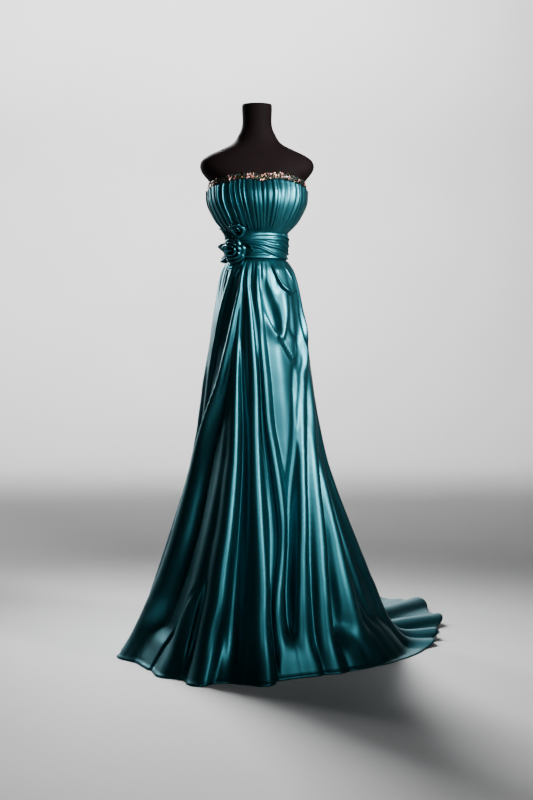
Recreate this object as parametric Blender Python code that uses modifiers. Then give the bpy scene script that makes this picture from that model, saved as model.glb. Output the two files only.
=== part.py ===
"""Strapless satin evening gown with a train, worn by a limbless dress form on a round stand.

Metres, +Z up. The gown faces -Y, its wearer's left is +X, and the origin is on the floor under the
form's axis, in the middle of the stand's underside. Angles round the gown are in degrees from the
front (-Y) towards the wearer's left (+X).
"""

import math

import bmesh
import bpy
import numpy as np

# ---------------------------------------------------------------------------------------------
# Driving dimensions (metres, degrees)
# ---------------------------------------------------------------------------------------------

WALL = 0.0015                # one thickness of lined satin
SEAM_GAP = 0.0006            # between two pieces at a seam
SEAM_STRIP = 0.6             # width in degrees of the skirt's strip along a seam
FORM_EASE = 0.0010           # between the dress form and the cloth it carries

WAIST_SEAM_Z = 1.2620        # bodice above, skirt below
SASH_TOP_Z = 1.3420
SIDE_SEAM = 90.0             # angle of the wearer's left side seam
BACK_SEAM = 180.0

FRONT_PLEATS = 20
BACK_PLEATS = 8              # in each back panel
PLEAT_DEPTH = 0.0055
PLEAT_CREST = 0.66           # share of a pleat's width where its crest stands
PLEAT_DRAW_IN = 18.0         # how far pleats lean towards the middle at the waist

TRIM_HEIGHT = 0.021
TRIM_WALL = 0.0020
TRIM_STONE = 0.0030          # how far the stones stand out

WAIST_GATHERS = 28           # all round the waist seam
GATHER_DEPTH = 0.0032
VALLEY_DEPTH = 0.010         # how far the cloth falls in between two flutes
HEM_CLEARANCE = 0.0003       # between the floor and the cloth that lies on it
HEM_BEND = 0.0006            # how softly the cloth turns onto the floor at the front
TRAIN_BEND = 0.024           # and what is added where the train starts
FLUTE_WAIST_SHARE = 0.20     # a flute's width and height at the waist, as shares of the hem's
FLUTE_GROWTH = 0.14          # share of the drop over which a flute rises from its start
TRAIN_FLATTENING = 0.25      # share of a flute's height lost where the train lies

SASH_FOLD_DEPTH = 0.0045
SASH_EASE = 0.0012           # between the bodice and the sash over it
BODICE_IN_SASH = 0.0025      # room for the bodice between the form and the sash

SHOULDER_FULLNESS = 0.7      # added to an oval's exponent of 2
FORM_SIDES = 28
POLE_RADIUS = 0.016
BASE_RADIUS = 0.165
BASE_EDGE = 0.012
BASE_HEIGHT = 0.030
BASE_SIDES = 35              # an odd number, so the underside's middle lies inside a face

ROSE_ANGLE = -47.0           # the main rose's place on the sash
ROSE_Z = 1.2850
ROSE_GROUND_RADIUS = 0.100   # turns a length along the sash into an angle
ROSETTE_GAP = 0.0004

# The dress form: height, half width, depth to the front and to the back.
FORM = (
    (1.0200, 0.1060, 0.0880, 0.0960),
    (1.0700, 0.1160, 0.0950, 0.1080),
    (1.1200, 0.1150, 0.0950, 0.1080),
    (1.1700, 0.1060, 0.0910, 0.1010),
    (1.2200, 0.0940, 0.0850, 0.0880),
    (1.2600, 0.0885, 0.0810, 0.0800),
    (1.3000, 0.0880, 0.0805, 0.0780),
    (1.3400, 0.0920, 0.0850, 0.0820),
    (1.3800, 0.1100, 0.1010, 0.0920),
    (1.4200, 0.1340, 0.1150, 0.1010),
    (1.4600, 0.1480, 0.1190, 0.1060),
    (1.4980, 0.1500, 0.1060, 0.1050),
    (1.5120, 0.1545, 0.1000, 0.1040),
    (1.5250, 0.1650, 0.0945, 0.1020),
    (1.5420, 0.1770, 0.0880, 0.0985),
    (1.5600, 0.1810, 0.0810, 0.0930),
    (1.5760, 0.1745, 0.0745, 0.0865),
    (1.5900, 0.1560, 0.0680, 0.0795),
    (1.6060, 0.1230, 0.0610, 0.0715),
    (1.6240, 0.0860, 0.0540, 0.0620),
    (1.6600, 0.0570, 0.0475, 0.0520),
    (1.7530, 0.0470, 0.0440, 0.0450),
)

# The bodice's outer face between two pleats.
BODICE = (
    (1.2624, 0.0925, 0.0846, 0.0834),
    (1.3000, 0.0946, 0.0871, 0.0850),
    (1.3300, 0.0963, 0.0892, 0.0863),
    (1.3420, 0.0970, 0.0900, 0.0868),
    (1.3540, 0.1035, 0.0955, 0.0895),
    (1.3750, 0.1225, 0.1085, 0.0985),
    (1.4050, 0.1400, 0.1195, 0.1045),
    (1.4400, 0.1530, 0.1262, 0.1085),
    (1.4700, 0.1540, 0.1240, 0.1095),
    (1.5100, 0.1545, 0.1060, 0.1080),
)

# The top edge of the bodice: angle, height.
TOP_EDGE = (
    (-180.0, 1.4720),
    (-120.0, 1.4760),
    (-90.0, 1.4800),
    (-66.0, 1.4900),
    (-40.0, 1.5040),
    (-22.0, 1.5080),
    (-4.0, 1.5030),
    (2.0, 1.4990),
    (10.0, 1.5040),
    (28.0, 1.5090),
    (46.0, 1.5040),
    (70.0, 1.4900),
    (90.0, 1.4800),
    (120.0, 1.4760),
    (180.0, 1.4720),
)

# How the skirt opens: share of the drop, share of the way from the waist's to the hem's radius.
FLARE = (
    (0.000, 0.000),
    (0.030, 0.046),
    (0.124, 0.136),
    (0.217, 0.184),
    (0.372, 0.250),
    (0.537, 0.354),
    (0.672, 0.500),
    (0.826, 0.690),
    (0.940, 0.850),
    (1.000, 1.000),
)

# The hem seen from above: angle, radius where the cloth meets the floor, length lying on the floor.
HEM = (
    (-110.0, 0.410, 0.004),
    (-90.0, 0.416, 0.004),
    (-74.0, 0.396, 0.004),
    (-54.0, 0.410, 0.004),
    (-30.0, 0.446, 0.004),
    (-14.0, 0.425, 0.004),
    (0.0, 0.396, 0.004),
    (14.0, 0.350, 0.004),
    (28.0, 0.352, 0.004),
    (45.0, 0.372, 0.006),
    (62.0, 0.400, 0.012),
    (76.0, 0.445, 0.030),
    (88.0, 0.475, 0.060),
    (102.0, 0.485, 0.130),
    (114.0, 0.490, 0.230),
    (128.0, 0.495, 0.390),
    (140.0, 0.500, 0.520),
    (152.0, 0.505, 0.600),
    (166.0, 0.505, 0.620),
    (180.0, 0.500, 0.570),
    (196.0, 0.480, 0.420),
    (212.0, 0.440, 0.200),
    (226.0, 0.415, 0.070),
    (238.0, 0.400, 0.016),
    (250.0, 0.410, 0.004),
)

# The skirt's flutes: angle at the waist, hip, knee and hem, where each starts as a share of the
# drop, its half width at the hem and its height.
FLUTES = (
    ("right_side", -49.0, -80.0, -80.0, -86.0, 0.00, 0.058, 0.042),
    ("right_waist", -38.0, -56.0, -66.0, -72.0, 0.00, 0.024, 0.014),
    ("right_front", -30.0, -37.0, -41.0, -56.0, 0.06, 0.050, 0.046),
    ("right_toe", -31.0, -33.0, -35.0, -38.0, 0.60, 0.022, 0.022),
    ("front_right", -27.0, -28.0, -24.0, -26.0, 0.12, 0.030, 0.052),
    ("front_middle", -22.0, -8.0, -3.0, -1.0, 0.00, 0.030, 0.056),
    ("front_left", -8.0, 7.0, 14.0, 10.0, 0.10, 0.030, 0.034),
    ("left_front", 60.0, 58.0, 33.0, 27.0, 0.30, 0.026, 0.030),
    ("left_knee", 84.0, 77.0, 50.0, 40.0, 0.14, 0.030, 0.026),
    ("left_side", 96.0, 90.0, 66.0, 64.0, 0.30, 0.036, 0.034),
    ("left_edge", 102.0, 99.0, 95.5, 96.0, 0.20, 0.038, 0.032),
    ("left_back_1", 112.0, 110.0, 107.0, 105.0, 0.08, 0.040, 0.038),
    ("left_back_2", 126.0, 125.0, 123.0, 121.0, 0.05, 0.042, 0.044),
    ("left_back_3", 141.0, 140.0, 139.0, 137.0, 0.04, 0.044, 0.046),
    ("left_back_4", 156.0, 155.0, 154.0, 153.0, 0.04, 0.044, 0.048),
    ("left_back_5", 170.0, 169.0, 169.0, 168.5, 0.04, 0.040, 0.046),
    ("right_back_1", 190.0, 191.0, 191.0, 191.5, 0.04, 0.040, 0.048),
    ("right_back_2", 205.0, 206.0, 207.0, 208.0, 0.05, 0.044, 0.046),
    ("right_back_3", 222.0, 223.0, 225.0, 227.0, 0.06, 0.042, 0.044),
    ("right_back_4", 240.0, 241.0, 243.0, 245.0, 0.10, 0.040, 0.036),
    ("right_back_5", 262.0, 260.0, 259.0, 259.0, 0.16, 0.034, 0.030),
)
FLUTE_SHARES = (0.0, 0.33, 0.66, 1.0)

# The lower hip fold: the rim where it lies over the skirt, angle and height.
LOWER_HIP_RIM = (
    (-7.0, 1.250),
    (-2.0, 1.170),
    (8.0, 1.120),
    (14.0, 1.070),
    (23.0, 1.030),
    (33.0, 0.980),
    (44.0, 0.940),
)
LOWER_HIP_LIFT = 0.015
LOWER_HIP_SPREAD = (8.0, 50.0)          # degrees past the rim over which it sinks again
LOWER_HIP_ENDS = (0.925, 0.985, 1.225, 1.262)   # heights where it starts, is full, fades, ends
# The upper hip fold: its lower rim, angle and height.
UPPER_HIP_RIM = (
    (8.0, 1.262),
    (23.0, 1.232),
    (38.0, 1.208),
    (52.0, 1.188),
    (66.0, 1.172),
    (80.0, 1.160),
    (98.0, 1.160),
)
UPPER_HIP_LIFT = 0.014
UPPER_HIP_SPREAD = (0.014, 0.075)       # height above the rim over which it sinks again
UPPER_HIP_ENDS = (12.0, 30.0, 74.0, 96.0)       # angles where it starts, is full, fades, ends

# The rolled roses: place from the main rose's middle along the sash and up, radius of the first
# and of the last turn, turns, height in the middle and at the rim, how far the rim leans out,
# how far it is seated out from the cloth's highest line, steps along the strip.
ROSES = (
    ("rose_main", 0.000, 0.000, 0.0040, 0.0360, 3.4, 0.034, 0.014, 0.0070, 0.0000, 46),
    ("rose_small", 0.012, 0.0640, 0.0035, 0.0190, 2.0, 0.022, 0.011, 0.0060, 0.0008, 26),
)
# Folded leaves: root and tip along the sash and up, half width, how far the tip lifts, seat.
LEAVES = (
    ("rosette_leaf_upper", -0.0180, 0.0330, -0.0480, 0.0760, 0.0130, 0.016, 0.0000),
    ("rosette_leaf_left", -0.0310, 0.0070, -0.0740, 0.0200, 0.0120, 0.024, -0.0009),
    ("rosette_leaf_low", -0.0280, -0.0140, -0.0660, -0.0300, 0.0120, 0.018, -0.0009),
)
# Ribbon loops: root and tip along the sash and up, half width, height of the loop, seat.
LOOPS = (
    ("rosette_loop_right", 0.0340, 0.0120, 0.0600, 0.0150, 0.0130, 0.016, -0.0017),
    ("rosette_loop_lower", -0.0040, -0.0318, -0.0090, -0.0580, 0.0110, 0.014, -0.0018),
)
# The loose tail below the roses: its middle line along the sash and up.
TAIL = (
    (0.0230, -0.0310),
    (0.0240, -0.0440),
    (0.0160, -0.0620),
    (0.0060, -0.0800),
)
TAIL_HALF_WIDTH = 0.0055
TAIL_FOLD = 0.003            # height of the fold down the tail's middle
LEAF_FOLD = 0.0035
LEAF_ROOT = 0.0012           # a leaf's half width at its ends
LOOP_TURN = 0.82             # share of a half turn that a loop's ribbon makes
ROSE_WAVE = 0.12             # share of its height by which a rose's rim rises and falls
ROSE_WAVES = 2.3             # in each turn

# Rows of each surface, as shares of its height or length.
BODICE_ROWS = (0.0, 0.34, 0.41, 0.52, 0.68, 0.85, 1.0)
BODICE_SASH_SHARE = 0.34     # the row that lies level with the sash's top
SKIRT_LOWER_ROWS = (1.0, 0.94, 0.87, 0.78, 0.68, 0.58, 0.48, 0.39, 0.32, 0.26)
SKIRT_FRONT_TOP = (0.215, 0.175, 0.142, 0.112, 0.084, 0.058, 0.034, 0.014, 0.0)
SKIRT_BACK_TOP = (0.175, 0.112, 0.058, 0.014, 0.0)
SASH_EDGES = (0.0, 0.12, 0.25, 0.38, 0.50, 0.64, 0.78, 1.0)
SASH_COLUMNS = 18            # in each half
SASH_LEAN = 0.09             # how far its folds lean, as a share of its height


# ---------------------------------------------------------------------------------------------
# Numbers to shapes
# ---------------------------------------------------------------------------------------------

def smooth_table(table, column, x):
    """The table's column at x, on a smooth curve through its rows; x runs along column 0."""
    rows = np.array(table, float)
    keys = rows[:, 0]
    values = rows[:, column]
    slopes = np.gradient(values, keys)
    x = np.clip(x, keys[0], keys[-1])
    low = np.clip(np.searchsorted(keys, x) - 1, 0, len(keys) - 2)
    step = keys[low + 1] - keys[low]
    t = (x - keys[low]) / step
    start = (2 * t**3 - 3 * t**2 + 1) * values[low] + (t**3 - 2 * t**2 + t) * step * slopes[low]
    end = (3 * t**2 - 2 * t**3) * values[low + 1] + (t**3 - t**2) * step * slopes[low + 1]
    return start + end


def rise(x, low, high):
    """0 below low, 1 above high, and a smooth rise between them."""
    t = np.clip((x - low) / (high - low), 0.0, 1.0)
    return t * t * (3.0 - 2.0 * t)


def section_radius(angle, half_width, front, back, fullness=2.0):
    """Distance from the axis to an oval of the given half width and depths; fuller is squarer."""
    sine = np.sin(np.radians(angle))
    cosine = np.cos(np.radians(angle))
    depth = np.where(cosine > 0.0, front, back)
    size = np.abs(sine / half_width) ** fullness + np.abs(cosine / depth) ** fullness
    return size ** (-1.0 / fullness)


def table_radius(table, angle, z):
    """Radius of a body given by rows of height, half width, front and back."""
    widths = [smooth_table(table, column, z) for column in (1, 2, 3)]
    return section_radius(angle, *widths)


def form_radius(angle, z):
    """Radius of the dress form, whose shoulders are fuller than its waist."""
    widths = [smooth_table(FORM, column, z) for column in (1, 2, 3)]
    fuller = SHOULDER_FULLNESS * rise(z, 1.490, 1.550) * (1.0 - rise(z, 1.590, 1.650))
    return section_radius(angle, *widths, 2.0 + fuller)


def place(angle, radius, z):
    """Points from an angle round the axis, a distance from it and a height."""
    turn = np.radians(angle)
    return np.stack([radius * np.sin(turn), -radius * np.cos(turn), z + 0.0 * radius], axis=-1)


# ---------------------------------------------------------------------------------------------
# Scene helpers
# ---------------------------------------------------------------------------------------------

def clear_scene():
    for old in list(bpy.data.objects):
        bpy.data.objects.remove(old, do_unlink=True)


def make_material(name, colour, roughness, metallic=0.0):
    material = bpy.data.materials.new(name)
    material.use_nodes = True
    shader = material.node_tree.nodes["Principled BSDF"]
    shader.inputs["Base Color"].default_value = (*colour, 1.0)
    shader.inputs["Roughness"].default_value = roughness
    shader.inputs["Metallic"].default_value = metallic
    return material


def add_object(name, mesh, material, collection):
    piece = bpy.data.objects.new(name, mesh)
    piece.data.materials.append(material)
    collection.objects.link(piece)
    return piece


def mesh_from_bmesh(name, bm):
    mesh = bpy.data.meshes.new(name)
    bm.to_mesh(mesh)
    bm.free()
    mesh.shade_smooth()
    return mesh


def cloth(name, columns, rows, point, material, collection, wall=WALL):
    """A wall of cloth: a grid with one vertex for each column and row, moved by point(column, row).

    The point function gives the outer face, and Solidify adds the wall behind it.
    """
    bm = bmesh.new()
    bmesh.ops.create_grid(bm, x_segments=len(columns) - 1, y_segments=len(rows) - 1, size=0.5)
    grid = np.array([vertex.co[:] for vertex in bm.verts]) + 0.5
    across = np.interp(grid[:, 0], np.linspace(0.0, 1.0, len(columns)), columns)
    along = np.interp(grid[:, 1], np.linspace(0.0, 1.0, len(rows)), rows)
    moved = point(across, along)
    for vertex, place_now in zip(bm.verts, moved):
        vertex.co = place_now
    piece = add_object(name, mesh_from_bmesh(name, bm), material, collection)
    solid = piece.modifiers.new("wall", "SOLIDIFY")
    solid.thickness = wall
    solid.offset = -1.0
    solid.use_even_offset = False
    return piece


def seam_columns(first, last, steps):
    """Evenly spread columns from one seam to the next."""
    return np.linspace(first, last, steps + 1)


def hemmed_columns(first, last, steps):
    """Even columns, but for a narrow strip along each seam, so that both sides lean alike there."""
    inner = np.linspace(first + SEAM_STRIP, last - SEAM_STRIP, steps - 1)
    return np.concatenate([[first], inner, [last]])


def part_seams(points, angle, first, last):
    """Move the two outermost columns off their seams, half a seam gap along the cloth."""
    turn = np.radians(angle)
    tangent = np.stack([np.cos(turn), np.sin(turn), 0.0 * turn], axis=-1)
    inward = np.where(angle == first, 1.0, 0.0) - np.where(angle == last, 1.0, 0.0)
    return points + tangent * (inward * SEAM_GAP / 2.0)[:, None]


# ---------------------------------------------------------------------------------------------
# Dress form and stand
# ---------------------------------------------------------------------------------------------

def build_torso(material, collection):
    """A sphere's rings moved to the form's sections, with the flat neck top and base as its poles."""
    rings = len(FORM)
    bm = bmesh.new()
    bmesh.ops.create_uvsphere(bm, u_segments=FORM_SIDES, v_segments=rings + 1, radius=1.0)
    table = np.array(FORM)
    for vertex in bm.verts:
        polar = math.acos(max(-1.0, min(1.0, vertex.co.z)))
        ring = round(polar / math.pi * (rings + 1))
        angle = math.degrees(math.atan2(vertex.co.x, -vertex.co.y))
        if ring in (0, rings + 1):
            vertex.co = (0.0, 0.0, table[-1, 0] if ring == 0 else table[0, 0])
            continue
        z = table[rings - ring, 0]
        vertex.co = place(angle, form_radius(angle, z), z)
    add_object("form_torso", mesh_from_bmesh("form_torso", bm), material, collection)


def build_pole(material, collection):
    top = FORM[0][0] - SEAM_GAP
    foot = BASE_HEIGHT + SEAM_GAP
    bpy.ops.mesh.primitive_cylinder_add(vertices=24, radius=POLE_RADIUS, depth=top - foot,
                                        location=(0.0, 0.0, (top + foot) / 2.0))
    adopt(bpy.context.object, "stand_pole", material, collection)


def build_base(material, collection):
    """A turned disc with a low dome and a rounded rim."""
    profile = (
        (0.0, BASE_HEIGHT),
        (POLE_RADIUS * 2.0, BASE_HEIGHT),
        (POLE_RADIUS * 2.6, BASE_HEIGHT - 0.006),
        (BASE_RADIUS * 0.55, BASE_HEIGHT - 0.010),
        (BASE_RADIUS * 0.90, BASE_EDGE + 0.002),
        (BASE_RADIUS, BASE_EDGE * 0.6),
        (BASE_RADIUS, 0.0),
        (0.0, 0.0),
    )
    mesh = bpy.data.meshes.new("stand_base")
    points = [(radius, 0.0, z) for radius, z in profile]
    mesh.from_pydata(points, [(i, i + 1) for i in range(len(points) - 1)], [])
    piece = add_object("stand_base", mesh, material, collection)
    screw = piece.modifiers.new("turn", "SCREW")
    screw.steps = BASE_SIDES
    screw.render_steps = BASE_SIDES
    screw.use_merge_vertices = True
    screw.merge_threshold = 0.0001
    flat = piece.modifiers.new("flat_faces", "DECIMATE")
    flat.decimate_type = "DISSOLVE"
    flat.angle_limit = math.radians(0.5)


def adopt(piece, name, material, collection):
    """Give a new primitive its name, material and collection."""
    piece.name = name
    piece.data.name = name
    piece.data.materials.clear()
    piece.data.materials.append(material)
    piece.data.shade_smooth()
    piece.data.set_sharp_from_angle(angle=math.radians(40.0))
    for home in list(piece.users_collection):
        home.objects.unlink(piece)
    collection.objects.link(piece)


# ---------------------------------------------------------------------------------------------
# Bodice and its trim
# ---------------------------------------------------------------------------------------------

def pleat_angle(top_angle, share):
    """Where a pleat that starts at top_angle runs, lower down; share is 1 at the top edge."""
    lean = PLEAT_DRAW_IN * np.sin(np.radians(2.0 * top_angle))
    return top_angle - lean * (1.0 - share) ** 1.3


def pleat_height(phase):
    """A knife pleat: a slow climb to its crest and a quick fall behind it."""
    phase = phase % 1.0
    return np.minimum(phase / PLEAT_CREST, (1.0 - phase) / (1.0 - PLEAT_CREST))


def bodice_point(first, last, pleats):
    """The outer face of a bodice panel between two seams."""
    def point(angle, share):
        top = smooth_table(TOP_EDGE, 1, (angle + 180.0) % 360.0 - 180.0)
        low = WAIST_SEAM_Z + SEAM_GAP / 2.0
        under = low + (SASH_TOP_Z - low) * share / BODICE_SASH_SHARE
        over = SASH_TOP_Z + (top - SASH_TOP_Z) * (share - BODICE_SASH_SHARE) / (1 - BODICE_SASH_SHARE)
        z = np.where(share < BODICE_SASH_SHARE, under, over)
        turned = pleat_angle(angle, share)
        radius = table_radius(BODICE, turned, z)
        phase = (angle - first) / (last - first) * pleats
        depth = PLEAT_DEPTH * rise(z, SASH_TOP_Z, SASH_TOP_Z + 0.030)
        radius = radius + depth * pleat_height(np.round(phase, 6))
        return part_seams(place(turned, radius, z), angle, first, last)
    return point


def build_bodice(material, collection):
    panels = (
        ("bodice_front", -SIDE_SEAM, SIDE_SEAM, FRONT_PLEATS),
        ("bodice_back_left", SIDE_SEAM, BACK_SEAM, BACK_PLEATS),
        ("bodice_back_right", BACK_SEAM, 360.0 - SIDE_SEAM, BACK_PLEATS),
    )
    for name, first, last, pleats in panels:
        columns = seam_columns(first, last, pleats * 3)
        point = bodice_point(first, last, pleats)
        cloth(name, columns, BODICE_ROWS, point, material, collection)


def trim_point(first, last, stones):
    """A band that stands on the top edge, close to the form, with a stone at every other column."""
    def point(angle, share):
        top = smooth_table(TOP_EDGE, 1, (angle + 180.0) % 360.0 - 180.0)
        z = top + SEAM_GAP + TRIM_HEIGHT * share
        on_edge = table_radius(BODICE, angle, top)
        on_form = form_radius(angle, z) + FORM_EASE + TRIM_WALL
        radius = np.maximum(on_edge + (on_form - on_edge) * rise(share, 0.0, 1.0), on_form)
        phase = (angle - first) / (last - first) * stones * math.pi
        swell = np.sin(np.pi * np.clip(share, 0.0, 1.0))
        radius = radius + TRIM_STONE * swell * np.abs(np.sin(phase))
        return part_seams(place(angle, radius, z), angle, first, last)
    return point


def build_trim(material, collection):
    bands = (
        ("neck_trim_front", -SIDE_SEAM, SIDE_SEAM, 24),
        ("neck_trim_back", SIDE_SEAM, 360.0 - SIDE_SEAM, 16),
    )
    for name, first, last, stones in bands:
        columns = seam_columns(first, last, stones * 2)
        point = trim_point(first, last, stones)
        cloth(name, columns, (0.0, 0.5, 1.0), point, material, collection, TRIM_WALL)


# ---------------------------------------------------------------------------------------------
# Sash
# ---------------------------------------------------------------------------------------------

def sash_base_radius(angle, z):
    """The inner face of the sash, just clear of the bodice that it lies on."""
    plain = np.maximum(table_radius(BODICE, angle, z), form_radius(angle, z) + BODICE_IN_SASH)
    return plain + SASH_EASE


def sash_point(first, last):
    """Soft folds that lie along the band and lean across it away from the rosette."""
    edges = np.array(SASH_EDGES)

    def point(angle, share):
        fold = share * (len(edges) - 1)
        lean = SASH_LEAN * np.sin(np.radians(angle - ROSE_ANGLE)) * np.sin(np.pi * share)
        level = np.interp(fold, np.arange(len(edges)), edges) + lean
        low = WAIST_SEAM_Z + SEAM_GAP
        z = low + (SASH_TOP_Z - low) * level
        swell = 1.0 - (2.0 * (fold % 1.0) - 1.0) ** 2
        swell = np.where(np.abs(fold - np.round(fold)) < 1e-6, 0.0, swell)
        radius = sash_base_radius(angle, z) + WALL + SASH_FOLD_DEPTH * swell
        return part_seams(place(angle, radius, z), angle, first, last)
    return point


def build_sash(material, collection):
    folds = len(SASH_EDGES) - 1
    halves = (
        ("sash_front", -SIDE_SEAM, SIDE_SEAM),
        ("sash_back", SIDE_SEAM, 360.0 - SIDE_SEAM),
    )
    rows = np.linspace(0.0, 1.0, folds * 2 + 1)
    for name, first, last in halves:
        columns = seam_columns(first, last, SASH_COLUMNS)
        cloth(name, columns, rows, sash_point(first, last), material, collection)


# ---------------------------------------------------------------------------------------------
# Skirt
# ---------------------------------------------------------------------------------------------

def hem_angle(angle):
    """An angle in the hem table's own turn."""
    start = HEM[0][0]
    return (angle - start) % 360.0 + start


def skirt_drop(angle, drop):
    """The plain flared skirt: radius and height where drop shares of its hang are used up.

    Past a drop of 1 the cloth lies on the floor and runs straight out.
    """
    hem = smooth_table(HEM, 1, hem_angle(angle))
    waist = table_radius(BODICE, angle, WAIST_SEAM_Z + SEAM_GAP)
    hang = np.clip(drop, 0.0, 1.0)
    spread = smooth_table(FLARE, 1, hang)
    radius = waist + (hem - waist) * spread + np.maximum(drop - 1.0, 0.0) * WAIST_SEAM_Z
    run = smooth_table(HEM, 2, hem_angle(angle))
    soft = HEM_BEND + TRAIN_BEND * rise(run, 0.01, 0.15)
    top = WAIST_SEAM_Z - SEAM_GAP / 2.0
    fall = top * (1.0 - drop)
    z = soft * np.logaddexp(0.0, fall / soft)
    return radius, np.minimum(z, top) + WALL * rise(drop, 0.5, 0.9)


def flute_lift(angle, drop):
    """How far the flutes carry the cloth out from the plain skirt."""
    hang = np.clip(drop, 0.0, 1.0)
    radius, _ = skirt_drop(angle, hang)
    lift = np.zeros_like(angle)
    for _, waist, hip, knee, hem, start, half_width, height in FLUTES:
        path = np.array(list(zip(FLUTE_SHARES, (waist, hip, knee, hem))))
        centre = smooth_table(path, 1, hang)
        away = (angle - centre + 180.0) % 360.0 - 180.0
        width = half_width * (FLUTE_WAIST_SHARE + (1.0 - FLUTE_WAIST_SHARE) * hang)
        swell = np.exp(-((np.radians(away) * radius / width) ** 2))
        fuller = FLUTE_WAIST_SHARE + (1.0 - FLUTE_WAIST_SHARE) * rise(hang, 0.0, 0.85)
        grow = rise(hang, start, start + FLUTE_GROWTH) * fuller
        lift = lift + height * grow * swell
    return lift


def hip_lift(angle, z):
    """The two folds that are draped from the sash over the wearer's left hip."""
    rim = np.array([(-height, where) for where, height in LOWER_HIP_RIM])
    past = angle - smooth_table(rim, 1, -z)
    lower = LOWER_HIP_LIFT * rise(past, -1.5, 2.5) * (1.0 - rise(past, *LOWER_HIP_SPREAD))
    lower = lower * rise(z, *LOWER_HIP_ENDS[:2]) * (1.0 - rise(z, *LOWER_HIP_ENDS[2:]))
    above = z - smooth_table(UPPER_HIP_RIM, 1, angle)
    upper = UPPER_HIP_LIFT * rise(above, -0.002, 0.010) * (1.0 - rise(above, *UPPER_HIP_SPREAD))
    upper = upper * rise(angle, *UPPER_HIP_ENDS[:2]) * (1.0 - rise(angle, *UPPER_HIP_ENDS[2:]))
    return np.maximum(lower, upper)


def gather_lift(angle, drop):
    """Fine gathers that fan out from the waist seam and fade over the hips."""
    fade = 1.0 - rise(drop, 0.05, 0.17)
    return GATHER_DEPTH * fade * 0.5 * (1.0 - np.cos(np.radians(angle) * WAIST_GATHERS))


def skirt_point(first, last):
    """The outer face of a skirt panel: moved straight out where it hangs, up where it lies."""
    def point(angle, share):
        run = smooth_table(HEM, 2, hem_angle(angle))
        drop = share * (1.0 + run / WAIST_SEAM_Z)
        radius, z = skirt_drop(angle, drop)
        lying = rise(drop, 0.72, 1.22) * rise(run, 0.02, 0.16)
        lift = flute_lift(angle, drop) + hip_lift(angle, z) + gather_lift(angle, drop)
        lift = lift - VALLEY_DEPTH * rise(drop, 0.15, 0.5) * (1.0 - lying)
        lift = lift * rise(drop, 0.0, 0.03) * (1.0 - TRAIN_FLATTENING * lying)
        tilt = math.pi / 2.0 * lying
        radius = radius + lift * np.cos(tilt)
        z = z + lift * np.sin(tilt)
        z = np.maximum(z, WALL + HEM_CLEARANCE)
        return part_seams(place(angle, radius, z), angle, first, last)
    return point


def build_skirt(material, collection):
    panels = (
        ("skirt_front", -SIDE_SEAM, SIDE_SEAM, 56, SKIRT_FRONT_TOP),
        ("skirt_back_left", SIDE_SEAM, BACK_SEAM, 24, SKIRT_BACK_TOP),
        ("skirt_back_right", BACK_SEAM, 360.0 - SIDE_SEAM, 24, SKIRT_BACK_TOP),
    )
    for name, first, last, steps, top_rows in panels:
        columns = hemmed_columns(first, last, steps)
        rows = SKIRT_LOWER_ROWS + top_rows
        cloth(name, columns, rows, skirt_point(first, last), material, collection)


# ---------------------------------------------------------------------------------------------
# Rosette
# ---------------------------------------------------------------------------------------------

def rosette_ground(angle, z):
    """The outermost cloth under the rosette: sash, bodice above it and skirt below it."""
    on_sash = np.clip(z, WAIST_SEAM_Z + SEAM_GAP, SASH_TOP_Z)
    sash = sash_base_radius(angle, on_sash) + WALL + SASH_FOLD_DEPTH
    swell = PLEAT_DEPTH * rise(z, SASH_TOP_Z, SASH_TOP_Z + 0.030)
    bodice = table_radius(BODICE, angle, np.maximum(z, SASH_TOP_Z)) + swell
    drop = np.maximum(WAIST_SEAM_Z - z, 0.0) / WAIST_SEAM_Z
    skirt = skirt_drop(angle, drop)[0] + flute_lift(angle, drop) + gather_lift(angle, drop)
    return np.maximum(np.maximum(sash, bodice), skirt)


def on_rosette(along, up, lift):
    """A point given along the sash, up and out from the cloth under the rosette."""
    angle = ROSE_ANGLE + np.degrees(along / ROSE_GROUND_RADIUS)
    z = ROSE_Z + up
    return place(angle, rosette_ground(angle, z) + ROSETTE_GAP + lift, z)


def rose_point(rose):
    """A strip rolled up from its middle: it stands on the sash and its rim leans outwards."""
    _, along, up, first, last, turns, middle_height, rim_height, lean, seat, _ = rose

    def point(roll, share):
        turn = 2.0 * math.pi * turns * roll
        height = middle_height + (rim_height - middle_height) * roll
        waves = 1.0 + ROSE_WAVE * np.sin(ROSE_WAVES * turn) * rise(share, 0.3, 1.0) * roll
        radius = first + (last - first) * roll + lean * roll * share**2
        x = along + radius * np.cos(turn)
        y = up + radius * np.sin(turn)
        return on_rosette(x, y, seat + height * waves * share)
    return point


def leaf_point(leaf):
    """A pointed leaf with a raised fold down its middle."""
    _, root_x, root_y, tip_x, tip_y, half_width, tip_lift, seat = leaf
    run = np.array([tip_x - root_x, tip_y - root_y])
    side = np.array([-run[1], run[0]]) / np.hypot(*run)

    def point(length, across):
        width = LEAF_ROOT + half_width * np.sin(np.pi * np.clip(length, 0.0, 1.0) ** 0.8)
        x = root_x + run[0] * length + side[0] * width * across
        y = root_y + run[1] * length + side[1] * width * across
        fold = LEAF_FOLD * (1.0 - np.abs(across)) * np.sin(np.pi * length)
        return on_rosette(x, y, WALL + seat + tip_lift * length**1.6 + fold)
    return point


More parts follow.
